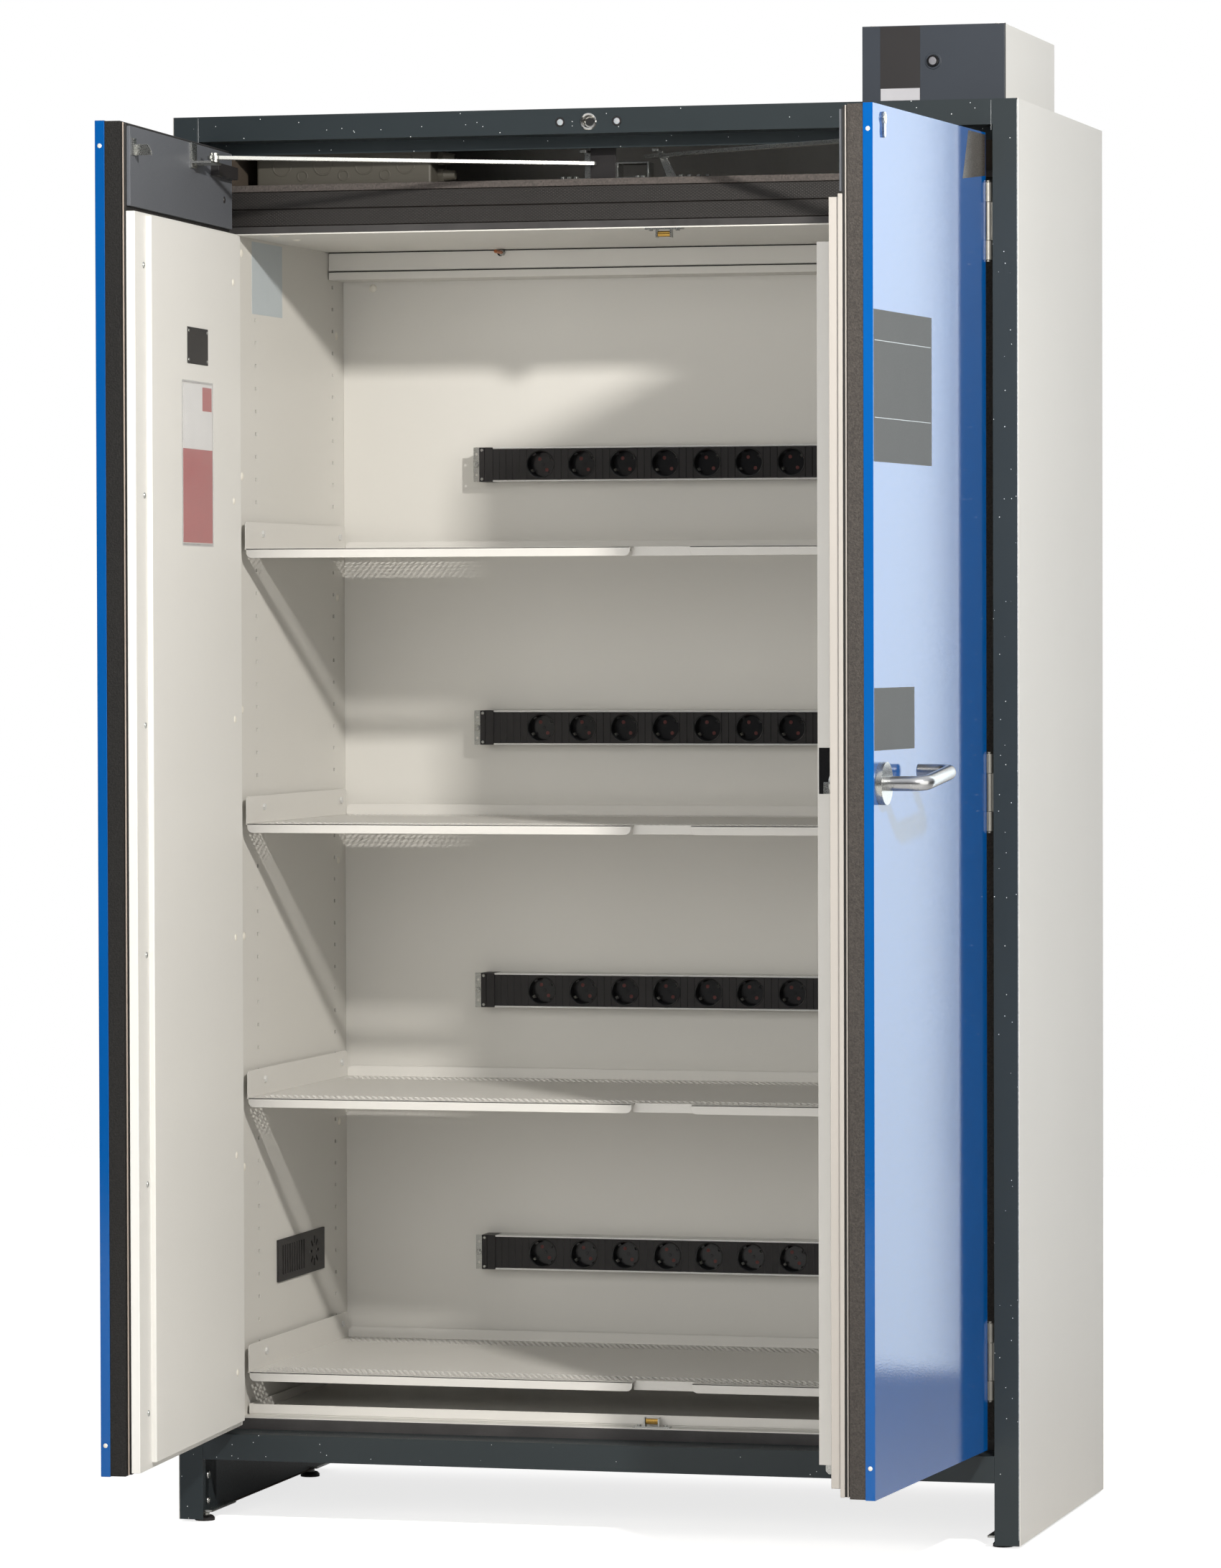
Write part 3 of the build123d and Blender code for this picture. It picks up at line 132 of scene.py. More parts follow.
finishes = {
    # Anthracite powder coat: blue-black with an orange peel, and near-white specks in its colour as painted
    # glints where light would sparkle on it
    "anthraciteCoat": {"colours": ("#21292c", "#283034"), "drift": 260, "grain": 1.6,
        "roughness": (0.34, 0.46), "relief": 0.07,
        "paintedGlints": {"pitch": 8.0, "radius": 0.075, "share": 0.4, "colour": "#f4f8fa"}},
    # Light grey powder coat: even, matt, with a very fine texture
    "lightGreyCoat": {"colours": ("#d3d1cc", "#d8d6d1"), "drift": 300, "grain": 0.9,
        "roughness": (0.42, 0.52), "relief": 0.02},
    # Coated steel sheet of the chamber: warm grey, slightly softer in its shine than the coat outside
    "chamberSheet": {"colours": ("#d2d0ca", "#d7d5d0"), "drift": 340, "grain": 1.1,
        "roughness": (0.4, 0.5), "relief": 0.02},
    # Gentian blue powder coat: saturated, semi-gloss, with a fine orange peel
    "gentianCoat": {"colours": ("#014d92", "#03549c"), "drift": 240, "grain": 2.4,
        "roughness": (0.05, 0.08), "relief": 0.1, "shader": {"Specular IOR Level": 0.4}},
    # Black swelling strip and mineral edge: rough, with brown flecks
    "roughEdge": {"colours": ("#0c0b0a", "#4e4843"), "drift": 2.6, "grain": 2.2, "detail": 6.0,
        "roughness": (0.55, 0.8), "relief": 0.9, "strength": 1.0},
    # The same strip on the left door, painted blacker as shade, since the key light reaches the left door's edge
    # far less
    "paintedShadeEdge": {"colours": ("#030302", "#1d1b19"), "drift": 2.6, "grain": 2.2, "detail": 6.0,
        "roughness": (0.6, 0.85), "relief": 0.9, "strength": 1.0},
    # Smooth slate grey sheet over the doors' locks
    "slateSheet": {"colours": ("#575a5f", "#5e6167"), "drift": 200, "grain": 1.2,
        "roughness": (0.4, 0.5), "relief": 0.015},
    # Melamine faced board: pale warm grey with a faint pearl texture
    "melamineBoard": {"colours": ("#e0dfda", "#e4e3df"), "drift": 320, "grain": 1.0,
        "roughness": (0.42, 0.54), "relief": 0.02},
    # Board of the right door's liner: the same melamine board painted darker and warmer as painted shade, since
    # the key light falls on it at close range
    "paintedShadeBoard": {"colours": ("#aaa59f", "#b1aca6"), "drift": 320, "grain": 1.0,
        "roughness": (0.42, 0.54), "relief": 0.02},
    # Raw cut edge of mineral board: brown and fibrous
    "cutBoard": {"colours": ("#40372e", "#4d4338"), "drift": 30, "grain": 1.4, "detail": 5.0,
        "roughness": (0.8, 0.95), "relief": 0.3},
    # Bright zinc plate: silvery with a faint blue and yellow cast and soft streaks
    "zincPlate": {"colours": ("#b4b8bb", "#c6c5bd"), "drift": 35, "grain": 1.0,
        "roughness": (0.2, 0.36), "relief": 0.01, "metallic": 1.0},
    # Stainless steel brushed along the grip: long fine lines
    "brushedStainless": {"colours": ("#a9abad", "#bbbcbd"), "drift": 60, "grain": 1.0,
        "stretch": (1.0, 1.0, 12.0), "roughness": (0.2, 0.34), "relief": 0.01, "metallic": 1.0},
    # Turned brass: yellow, with turning rings round the roller
    "turnedBrass": {"colours": ("#c79a48", "#d8b264"), "drift": 20, "grain": 0.6,
        "stretch": (6.0, 1.0, 1.0), "roughness": (0.2, 0.32), "relief": 0.01, "metallic": 1.0},
    # Nickel plated brass of the lock's plug: warm and bright
    "nickelPlate": {"colours": ("#bdb7aa", "#c9c4b8"), "drift": 15, "grain": 0.7,
        "roughness": (0.18, 0.28), "relief": 0.006, "metallic": 1.0},
    # Copper pipe end: reddish and a little dulled
    "copperPipe": {"colours": ("#b5714d", "#c58460"), "drift": 10, "grain": 0.7,
        "roughness": (0.25, 0.4), "relief": 0.01, "metallic": 1.0},
    # Black moulded thermoplastic: fine spark eroded texture
    "mouldedBlack": {"colours": ("#1b191a", "#222021"), "drift": 90, "grain": 0.7,
        "roughness": (0.42, 0.56), "relief": 0.03},
    # Polished black moulding of the sockets' recesses
    "polishedBlack": {"colours": ("#0d0d0f", "#131315"), "drift": 50, "grain": 0.8,
        "roughness": (0.18, 0.26), "relief": 0.008},
    # Grey moulded box and glands: matt, slightly warm, and painted dark as the shade of the closed top
    # compartment
    "paintedShadeGrey": {"colours": ("#4a4740", "#524f47"), "drift": 90, "grain": 0.8,
        "roughness": (0.45, 0.6), "relief": 0.02},
    # Natural anodised aluminium, drawn along the strip: bright satin
    "anodisedAluminium": {"colours": ("#cfcfce", "#dadad8"), "drift": 90, "grain": 0.8,
        "stretch": (0.05, 1.0, 1.0), "roughness": (0.26, 0.36), "relief": 0.006, "metallic": 1.0},
    # Smooth dark blue-grey coat of the fan unit's front
    "slateCoat": {"colours": ("#252b33", "#2c323b"), "drift": 160, "grain": 1.2,
        "roughness": (0.4, 0.5), "relief": 0.015},
    # Milky lens of a signal lamp
    "milkyLens": {"colours": ("#a9a8ac", "#b5b4b8"), "drift": 6, "grain": 0.5,
        "roughness": (0.2, 0.3), "relief": 0.004, "shader": {"Subsurface Weight": 0.2, "Coat Weight": 0.4}},
    # Chrome bezel: mirror bright
    "chromeBezel": {"colours": ("#c9c8c4", "#d6d5d1"), "drift": 12, "grain": 0.6,
        "roughness": (0.05, 0.1), "relief": 0.003, "metallic": 1.0},
    # Dark red shutters behind the sockets' pin holes
    "redShutter": {"colours": ("#4a1a16", "#5a2420"), "drift": 5, "grain": 0.5,
        "roughness": (0.35, 0.5), "relief": 0.01},
    # White polyethylene plugs
    "whitePlug": {"colours": ("#dcd8cd", "#e4e0d6"), "drift": 12, "grain": 0.6,
        "roughness": (0.3, 0.42), "relief": 0.01},
    # Light rubber bead of the doors' smoke seal
    "lightRubber": {"colours": ("#a89a8e", "#b6a99d"), "drift": 60, "grain": 0.8,
        "roughness": (0.5, 0.65), "relief": 0.03},
    # Dark ribbed seal behind the bead
    "darkRubber": {"colours": ("#1b1a1a", "#232222"), "drift": 60, "grain": 0.8,
        "roughness": (0.5, 0.65), "relief": 0.03},
    # Foil plate, silver-blue and bare
    "paleFoil": {"colours": ("#b4bdc2", "#bdc6ca"), "drift": 50, "grain": 0.7,
        "roughness": (0.28, 0.4), "relief": 0.008},
    # Matt dark film of the bare label places
    "darkFilm": {"colours": ("#343432", "#3b3b39"), "drift": 60, "grain": 0.7,
        "roughness": (0.4, 0.5), "relief": 0.008, "shader": {"Specular IOR Level": 0.36}},
    # White film, painted grey as shade, since the key light sits close to the fan's strip
    "paintedShadeWhiteFilm": {"colours": ("#a2a2a7", "#ababaf"), "drift": 40, "grain": 0.7,
        "roughness": (0.35, 0.45), "relief": 0.006},
    # Paper sheets kept in the pouch
    "whitePaper": {"colours": ("#dbdbda", "#e6e6e5"), "drift": 30, "grain": 0.6,
        "roughness": (0.6, 0.75), "relief": 0.02},
    "redPaper": {"colours": ("#a63a38", "#b44c48"), "drift": 30, "grain": 0.6,
        "roughness": (0.5, 0.65), "relief": 0.02},
    # Smooth black rubber of the frame's lips, with pale scuffs where the doors rub
    "scuffedRubber": {"colours": ("#2b2a2a", "#4a4848"), "drift": 70, "grain": 9.0, "detail": 6.0,
        "roughness": (0.3, 0.62), "relief": 0.04},
    # Dark grey foam strip: open grain that catches the light
    "foamStrip": {"colours": ("#1e1b1a", "#6b6460"), "drift": 2.4, "grain": 2.4, "detail": 6.0,
        "roughness": (0.75, 0.95), "relief": 0.9, "strength": 1.0},
    # Hinge leaves: zinc painted darker as the shade in the gap between door and frame
    "paintedShadeZinc": {"colours": ("#6f6e6a", "#807e79"), "drift": 25, "grain": 1.0,
        "roughness": (0.35, 0.5), "relief": 0.01, "metallic": 1.0},
    # Painted sheen: near-white satin metal, only partly metallic, so the strips' rims and the shelf screws stay
    # bright from all round
    "paintedSheenSatin": {"colours": ("#cfcfce", "#dadad8"), "drift": 90, "grain": 0.8,
        "roughness": (0.26, 0.36), "relief": 0.006, "metallic": 0.3},
    # Unlit grey lens of the fan's button
    "greyLens": {"colours": ("#6f6f74", "#7c7c81"), "drift": 8, "grain": 0.5,
        "roughness": (0.2, 0.3), "relief": 0.004},
    # Painted highlights on the folds of the dark coat: bright in dots
    "paintedFoldHighlight": {"colours": ("#3a4246", "#e8ecee"), "drift": 3.0, "grain": 0.8,
        "roughness": (0.3, 0.4), "relief": 0.01},
    # Dark see-through brown film at the door's corner
    "brownFilm": {"colours": ("#3d3934", "#46413b"), "drift": 50, "grain": 0.7,
        "roughness": (0.2, 0.3), "relief": 0.006},
}
made = {name: newFinish(name, spec) for name, spec in finishes.items()}


def wovenBand():
    # Black glass fabric of the frame's heat seal: a twill that shows as fine slanted dots
    band = {"pitch": 3.2, "colours": ("#1d1b1a", "#312e2c"), "relief": 0.35}
    material, tree = newMaterial("wovenBand")
    shader = tree.nodes["Principled BSDF"]
    place = addNode(tree, "ShaderNodeTexCoord").outputs["Object"]
    # The thread pitch is drawn twice as coarse as the real one, so that it shows
    waves = []
    for turn in (35, -35):
        swung = addNode(tree, "ShaderNodeMapping", {"Vector": place, "Rotation": (0, radians(turn), 0)})
        wave = addNode(tree, "ShaderNodeTexWave",
                       {"Vector": swung.outputs[0], "Scale": 0.314 / (band["pitch"] * mm),
                        "Distortion": 0.4}, bands_direction="Z")
        waves.append(wave.outputs["Fac"])
    weave = addNode(tree, "ShaderNodeMath", {0: waves[0], 1: waves[1]}, operation="MULTIPLY")
    mix = addNode(tree, "ShaderNodeMix", {0: weave.outputs[0]}, data_type="RGBA")
    mix.inputs[6].default_value = hexColour(band["colours"][0])
    mix.inputs[7].default_value = hexColour(band["colours"][1])
    bump = addNode(tree, "ShaderNodeBump", {"Height": weave.outputs[0], "Distance": band["relief"] * mm,
                                            "Strength": 0.8})
    tree.links.new(mix.outputs[2], shader.inputs["Base Color"])
    tree.links.new(bump.outputs[0], shader.inputs["Normal"])
    shader.inputs["Roughness"].default_value = 0.55
    return material


def clearFilm():
    # Thin clear film of the pouch: only its shine and a faint veil show
    material, tree = newMaterial("clearFilm")
    shader = tree.nodes["Principled BSDF"]
    creases = addNode(tree, "ShaderNodeTexNoise",
                      {"Vector": addNode(tree, "ShaderNodeTexCoord").outputs["Object"],
                       "Scale": 1 / (25 * mm), "Detail": 2.0})
    bump = addNode(tree, "ShaderNodeBump", {"Height": creases.outputs["Fac"], "Distance": 0.5 * mm,
                                            "Strength": 0.5})
    tree.links.new(bump.outputs[0], shader.inputs["Normal"])
    shader.inputs["Base Color"].default_value = hexColour("#e8e8ea")
    shader.inputs["Alpha"].default_value = 0.12
    shader.inputs["Roughness"].default_value = 0.12
    return material


made["wovenBand"] = wovenBand()
made["clearFilm"] = clearFilm()
print("finishes made:", len(made))


# Mesh helpers. Sizes are in mm, and a place matrix sets a piece's own axes in the frame.

frameAxes = Matrix.Diagonal((mm, mm, mm, 1))


def setAxes(origin, xAxis, yAxis, zAxis):
    columns = [Vector(axis) * mm for axis in (xAxis, yAxis, zAxis)]
    place = Matrix.Identity(4)
    for i, column in enumerate(columns):
        place.col[i][:3] = column
    place.col[3][:3] = Vector(origin) * mm
    return place


def frontPlace(x, y, z):
    # A place whose z axis looks out of the cabinet's front
    return setAxes((x, y, z), (1, 0, 0), (0, 0, 1), (0, -1, 0))


def wallPlace(side, x, y, z):
    # A place on a side wall whose z axis looks into the cabinet. side: -1 left, 1 right
    return setAxes((side * x, y, z), (0, 1, 0), (0, 0, 1), (-side, 0, 0))


def newMeshes(count):
    return [bmesh.new() for _ in range(count)]


def addObject(name, data):
    thing = bpy.data.objects.new(name, data)
    bpy.context.scene.collection.objects.link(thing)
    return thing


def addBlock(bm, low, high, place=frameAxes):
    corners = [bm.verts.new(place @ Vector((x, y, z)))
               for x in (low[0], high[0]) for y in (low[1], high[1]) for z in (low[2], high[2])]
    for face in ((0, 1, 3, 2), (4, 6, 7, 5), (0, 4, 5, 1), (2, 3, 7, 6), (0, 2, 6, 4), (1, 5, 7, 3)):
        bm.faces.new([corners[i] for i in face])


def addTurned(bm, profile, place, steps=32):
    # Profile points are (radius, height) from the axis outwards
    rings = []
    for radius, height in profile:
        if radius < 1e-6:
            rings.append([bm.verts.new(place @ Vector((0, 0, height)))])
        else:
            rings.append([bm.verts.new(place @ Vector((radius * cos(2 * pi * k / steps),
                                                       radius * sin(2 * pi * k / steps), height)))
                          for k in range(steps)])
    for lower, upper in zip(rings, rings[1:]):
        for k in range(steps):
            nextK = (k + 1) % steps
            face = [lower[k % len(lower)], lower[nextK % len(lower)],
                    upper[nextK % len(upper)], upper[k % len(upper)]]
            bm.faces.new(list(dict.fromkeys(face)))


def addPrism(bm, outline, low, high, place=frameAxes):
    # The outline is in the place's x and y, and low and high are its z
    rings = [[bm.verts.new(place @ Vector((x, y, z))) for x, y in outline] for z in (low, high)]
    bm.faces.new(rings[0])
    bm.faces.new(list(reversed(rings[1])))
    for k in range(len(outline)):
        nextK = (k + 1) % len(outline)
        bm.faces.new((rings[0][k], rings[0][nextK], rings[1][nextK], rings[1][k]))


def addPlate(bm, width, height, thick, place, hole, holes):
    # Flat plate in the place's x and y, with round holes
    gap = 2 * hole
    cells = sorted({-width / 2, width / 2, *[c for x, y in holes for c in (x - gap, x + gap)]})
    for left, right in zip(cells, cells[1:]):
        inside = [(x, y) for x, y in holes if left < x < right]
        marks = sorted({-height / 2, height / 2, *[c for x, y in inside for c in (y - gap, y + gap)]})
        for low, high in zip(marks, marks[1:]):
            centre = [(x, y) for x, y in inside if low < y < high]
            if centre:
                addHoledCell(bm, left, right, low, high, centre[0], hole, thick, place)
            else:
                addBlock(bm, (left, low, 0), (right, high, thick), place)


def addHoledCell(bm, left, right, low, high, centre, radius, thick, place, steps=16):
    middle = Vector(((left + right) / 2, (low + high) / 2))
    outer, inner = [], []
    for k in range(steps):
        angle = 2 * pi * (k + 0.5) / steps
        ray = Vector((cos(angle), sin(angle)))
        reach = min((right - left) / 2 / max(abs(ray.x), 1e-6), (high - low) / 2 / max(abs(ray.y), 1e-6))
        outer.append(middle + ray * reach)
        inner.append(Vector(centre) + ray * radius)
    corners = [Vector((x, y)) for x in (left, right) for y in (low, high)]
    for corner in corners:
        nearest = min(range(steps), key=lambda k: (outer[k] - corner).length)
        outer[nearest] = corner
    rings = [[bm.verts.new(place @ Vector((*p, z))) for p in ring] for ring in (outer, inner)
             for z in (0, thick)]
    for k in range(steps):
        n = (k + 1) % steps
        bm.faces.new((rings[0][k], rings[0][n], rings[2][n], rings[2][k]))
        bm.faces.new((rings[1][k], rings[3][k], rings[3][n], rings[1][n]))
        bm.faces.new((rings[0][k], rings[1][k], rings[1][n], rings[0][n]))
        bm.faces.new((rings[2][k], rings[2][n], rings[3][n], rings[3][k]))


def addLoop(bm, low, high, profile, place):
    # Profile points are (outwards from the rectangle's edge, depth), swept round it with mitred corners
    rings = []
    for out, depth in profile:
        corners = ((low[0] - out, low[1] - out), (high[0] + out, low[1] - out),
                   (high[0] + out, high[1] + out), (low[0] - out, high[1] + out))
        rings.append([bm.verts.new(place @ Vector((x, depth, z))) for x, z in corners])
    for ring, nextRing in zip(rings, rings[1:] + rings[:1]):
        for k in range(4):
            n = (k + 1) % 4
            bm.faces.new((ring[k], ring[n], nextRing[n], nextRing[k]))


def arc(centre, radius, start, end, steps=6):
    angles = [radians(start + (end - start) * k / steps) for k in range(steps + 1)]
    return [(centre[0] + radius * cos(angle), centre[1] + radius * sin(angle)) for angle in angles]


def addTube(bm, corners, radius, bend, place, steps=28):
    # Round bar along the corners, each rounded by the bend
    points = [Vector(corner) for corner in corners]
    path = [points[0]]
    for before, corner, after in zip(points, points[1:], points[2:]):
        a = corner + (before - corner).normalized() * bend
        b = corner + (after - corner).normalized() * bend
        for t in (k / 10 for k in range(11)):
            path.append(a * (1 - t) ** 2 + corner * 2 * t * (1 - t) + b * t ** 2)
    path.append(points[-1])
    side = (path[1] - path[0]).orthogonal().normalized()
    rings = []
    for k, point in enumerate(path):
        ahead = (path[min(k + 1, len(path) - 1)] - path[max(k - 1, 0)]).normalized()
        side = (side - ahead * side.dot(ahead)).normalized()
        across = ahead.cross(side)
        rings.append([bm.verts.new(place @ (point + radius * (side * cos(a) + across * sin(a))))
                      for a in [2 * pi * n / steps for n in range(steps)]])
    for ring, nextRing in zip(rings, rings[1:]):
        for k in range(steps):
            n = (k + 1) % steps
            bm.faces.new((ring[k], ring[n], nextRing[n], nextRing[k]))
    bm.faces.new(rings[0])
    bm.faces.new(rings[-1][::-1])


def newPiece(name, bm, finish, slotName, swap=False, edge=0, segments=2):
    # Swap takes the slot's own CAD node out of the picture, and edge is its rounding in mm
    crease = radians(40)
    bmesh.ops.remove_doubles(bm, verts=bm.verts, dist=1e-6)
    bmesh.ops.recalc_face_normals(bm, faces=bm.faces)
    mesh = bpy.data.meshes.new(name)
    bm.to_mesh(mesh)
    bm.free()
    mesh.materials.append(made[finish])
    for polygon in mesh.polygons:
        polygon.use_smooth = True
    mesh.set_sharp_from_angle(angle=crease)
    piece = addObject(name, mesh)
    if edge:
        bevel = piece.modifiers.new("edge", "BEVEL")
        bevel.width = edge * mm
        bevel.segments = segments
        bevel.limit_method = "ANGLE"
        bevel.angle_limit = crease
        bevel.harden_normals = True
    if swap:
        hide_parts(slotName)
    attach(piece, bodyOf[slotName])
    return piece


def doorSpace(side):
    # Places (u from the hinge edge, w behind the outer face, z) on the open door. side: -1 left, 1 right
    name = "left_door_swing" if side < 0 else "right_door_swing"
    hinge = Vector(jointOf[name]["pos_m"]) / mm
    turn = radians(max(abs(limit) for limit in jointOf[name]["range_deg"])) * side
    edgeGap, faceGap = 6, 1  # from the hinge axis to the door's hinge edge and outer face
    across = Vector((cos(turn), sin(turn), 0))
    through = Vector((-sin(turn), cos(turn), 0))
    origin = Vector((hinge.x, hinge.y, 0)) - side * edgeGap * across + faceGap * through
    return setAxes(origin, -side * across, through, (0, 0, 1))


doorPlaces = {"left": doorSpace(-1), "right": doorSpace(1)}


def onDoor(name, u, w, z, facing="in"):
    # A place on a door whose z axis leaves its inner face, its outer face or its free edge
    axes = {"in": ((1, 0, 0), (0, 0, 1), (0, 1, 0)), "out": ((1, 0, 0), (0, 0, 1), (0, -1, 0)),
            "edge": ((0, 1, 0), (0, 0, 1), (1, 0, 0))}[facing]
    turn = Matrix([(*axis, 0) for axis in axes] + [(0, 0, 0, 1)]).transposed()
    return doorPlaces[name] @ Matrix.Translation((u, w, z)) @ turn


print("helpers ready")


# CAD nodes under each finish, with the radius of their broken edges in mm

nodeFinishes = {
    "anthraciteCoat": {"posts": 1.2, "header": 1.5, "bottom_rail": 1.2},
    "lightGreyCoat": {"side_panels": 0.6, "rear_panel": 0.6, "roof_panel": 0.5, "sump_tray": 0.6,
        "fan_cover": 0.8, "lock_cover": 1.2},
    "chamberSheet": {"chamber_walls": 0, "chamber_lining": 0.4, "exhaust_duct": 0.6},
    "paintedSheenSatin": {"shelf_screws": 0.3},
    "anodisedAluminium": {"strip_profiles": 0.3},
    "mouldedBlack": {"socket_inserts": 0, "strip_ends": 0.5, "centre_plate": 0.4, "fan_motor": 0.5,
        "wall_grille": 0.3, "fan_impeller": 0, "foot_front_left": 0.4, "foot_front_right": 0.4,
        "foot_rear_left": 0.4, "foot_rear_right": 0.4},
    "paintedShadeGrey": {"junction_box": 0.4, "cable_glands": 0.5},
    "zincPlate": {"stay_guides": 0.3, "roller_brackets": 0.3, "exhaust_spigot": 0, "foot_brackets": 0.4,
        "bolt_top": 0.3, "bolt_bottom": 0.3, "left_stay": 0.3, "right_stay": 0.3},
    "slateCoat": {"fan_front": 0.8},
    "paintedShadeZinc": {"frame_hinges": 0.3},
    "turnedBrass": {"roller_top": 0.2, "roller_bottom": 0.2},
    "nickelPlate": {"lock_plug": 0.2},
}
doorFinishes = {
    "left": {"core": "paintedShadeEdge", "liner": "melamineBoard", "bead": "lightRubber"},
    # The right door's liner and bead take the board with painted shade
    "right": {"core": "roughEdge", "liner": "paintedShadeBoard", "bead": "paintedShadeBoard"},
}
for name, own in doorFinishes.items():
    for part, finish, edge in (("skin", "gentianCoat", 1.4), ("core", own["core"], 0.5),
                               ("liner", own["liner"], 0.8), ("top_plate", "slateSheet", 0.5),
                               ("hinges", "paintedShadeZinc", 0.3), ("fittings", "zincPlate", 0.3)):
        nodeFinishes.setdefault(finish, {})[f"{name}_door_{part}"] = edge

# Nodes with a second finish beyond a limit along an axis: zinc studs over black pads, black blocks on a plate
inward = doorPlaces["left"].col[1].xyz.normalized()
padTop, plateFace = 7.1, 46.2  # top of the feet's pads, and the plate's face behind the door's outer face
twoFinishes = {f"foot_{row}_{side}": ("zincPlate", Vector((0, 0, 1)), padTop)
               for row in ("front", "rear") for side in ("left", "right")}
twoFinishes["left_door_top_plate"] = ("mouldedBlack", inward,
                                      inward.dot(doorPlaces["left"] @ Vector((0, plateFace, 0))) / mm)


def finishNode(node, finish, edge):
    shell = nodes[node]
    shell.data.materials.clear()
    shell.data.materials.append(made[finish])
    # The imported corner normals would leave the triangles' pattern in the shine
    if "custom_normal" in shell.data.attributes:
        shell.data.attributes.remove(shell.data.attributes["custom_normal"])
    for polygon in shell.data.polygons:
        polygon.use_smooth = True
        polygon.material_index = 0
    if node in twoFinishes:
        second, axis, limit = twoFinishes[node]
        shell.data.materials.append(made[second])
        for polygon in shell.data.polygons:
            polygon.material_index = int(axis.dot(polygon.center) > limit * mm)
    weld = shell.modifiers.new("weld", "WELD")
    weld.merge_threshold = 0.01 * mm
    flat = shell.modifiers.new("flat", "DECIMATE")
    flat.decimate_type = "DISSOLVE"
    flat.angle_limit = radians(1)
    crease = radians(35)
    if edge:
        rounding = shell.modifiers.new("edge", "BEVEL")
        rounding.width = edge * mm
        rounding.segments = 2
        rounding.limit_method = "ANGLE"
        rounding.angle_limit = crease
        rounding.harden_normals = True
    else:
        split = shell.modifiers.new("crease", "EDGE_SPLIT")
        split.split_angle = crease


for finish, edges in nodeFinishes.items():
    for node, edge in edges.items():
        finishNode(node, finish, edge)
print("CAD nodes finished:", sum(len(edges) for edges in nodeFinishes.values()))


# Side boards stop above the plinth, whose sides are coated plates

def makePlinth():
    look = {"top": 90, "low": 14, "inner": 561, "thick": 1.5, "front": 12, "back": 606,
            "heads": ((24, 64), (24, 28)), "headRadius": 5.5, "stripFront": 60, "stripBack": 602,
            "stripLevels": (11.5, 13.8), "stripProud": 0.6}
    boards = bmesh.new()
    boards.from_mesh(nodes["fire_boards"].data)
    for corner in boards.verts:
        corner.co.z = max(corner.co.z, look["top"] * mm)
    newPiece("fire_boards_cut", boards, "cutBoard", "fire_boards", swap=True)
    plates, strips, heads = newMeshes(3)
    for side in (-1, 1):
        x0, x1 = sorted((side * look["inner"], side * (look["inner"] + look["thick"])))
        addBlock(plates, (x0, look["front"], look["low"]), (x1, look["back"], look["top"] - 0.5))
        proud, levels = look["stripProud"], look["stripLevels"]
        addBlock(strips, (x0 - proud, look["stripFront"], levels[0]), (x1 + proud, look["stripBack"], levels[1]))
        for y, z in look["heads"]:
            addHead(heads, wallPlace(side, look["inner"], y, z), look["headRadius"])
    newPiece("plinth_plates", plates, "anthraciteCoat", "posts")
    newPiece("plinth_strips", strips, "cutBoard", "posts")
    newPiece("plinth_heads", heads, "zincPlate", "posts")


def addHead(bm, place, radius=4.2):
    # Low cheese head with a recessed drive
    addTurned(bm, ((0, 0.5), (radius * 0.38, 0.5), (radius * 0.42, 1.6), (radius * 0.85, 1.5), (radius, 0.7),
                   (radius * 1.02, 0)), place, 24)


def makeFoldHighlights():
    # Painted highlights: bright dotted strips on the frame coat's folds, along the right post's edge and the
    # header's two seams
    look = {"top": 1951, "deep": 0.3, "post": (594.3, 595.1), "postFoot": 12, "postProud": 0.2,
            "seams": (-559.4, 559), "seamWide": 0.4, "seamFoot": 1911, "seamProud": 0.15}
    folds = bmesh.new()
    addBlock(folds, (look["post"][0], -look["postProud"], look["postFoot"]),
             (look["post"][1], look["deep"], look["top"]))
    for x in look["seams"]:
        addBlock(folds, (x, -look["seamProud"], look["seamFoot"]),
                 (x + look["seamWide"], look["deep"], look["top"]))
    newPiece("frame_fold_highlights", folds, "paintedFoldHighlight", "posts")


makePlinth()
makeFoldHighlights()


# Socket strips

stripLook = {
    "heights": (1482, 1099.5, 717, 334.5), "middle": 3, "length": 579, "front": 530, "height": 50,
    "pitch": 62.3, "count": 8, "radius": 19.5, "depth": 17,
    "pinTurn": -56, "pinReach": 9.5, "pinRadius": 2.6, "clipReach": 17.5,
    "ribs": (-20.7, 20.7, 31.15), "endRibs": (9.8, 19.6, 29.4),
}


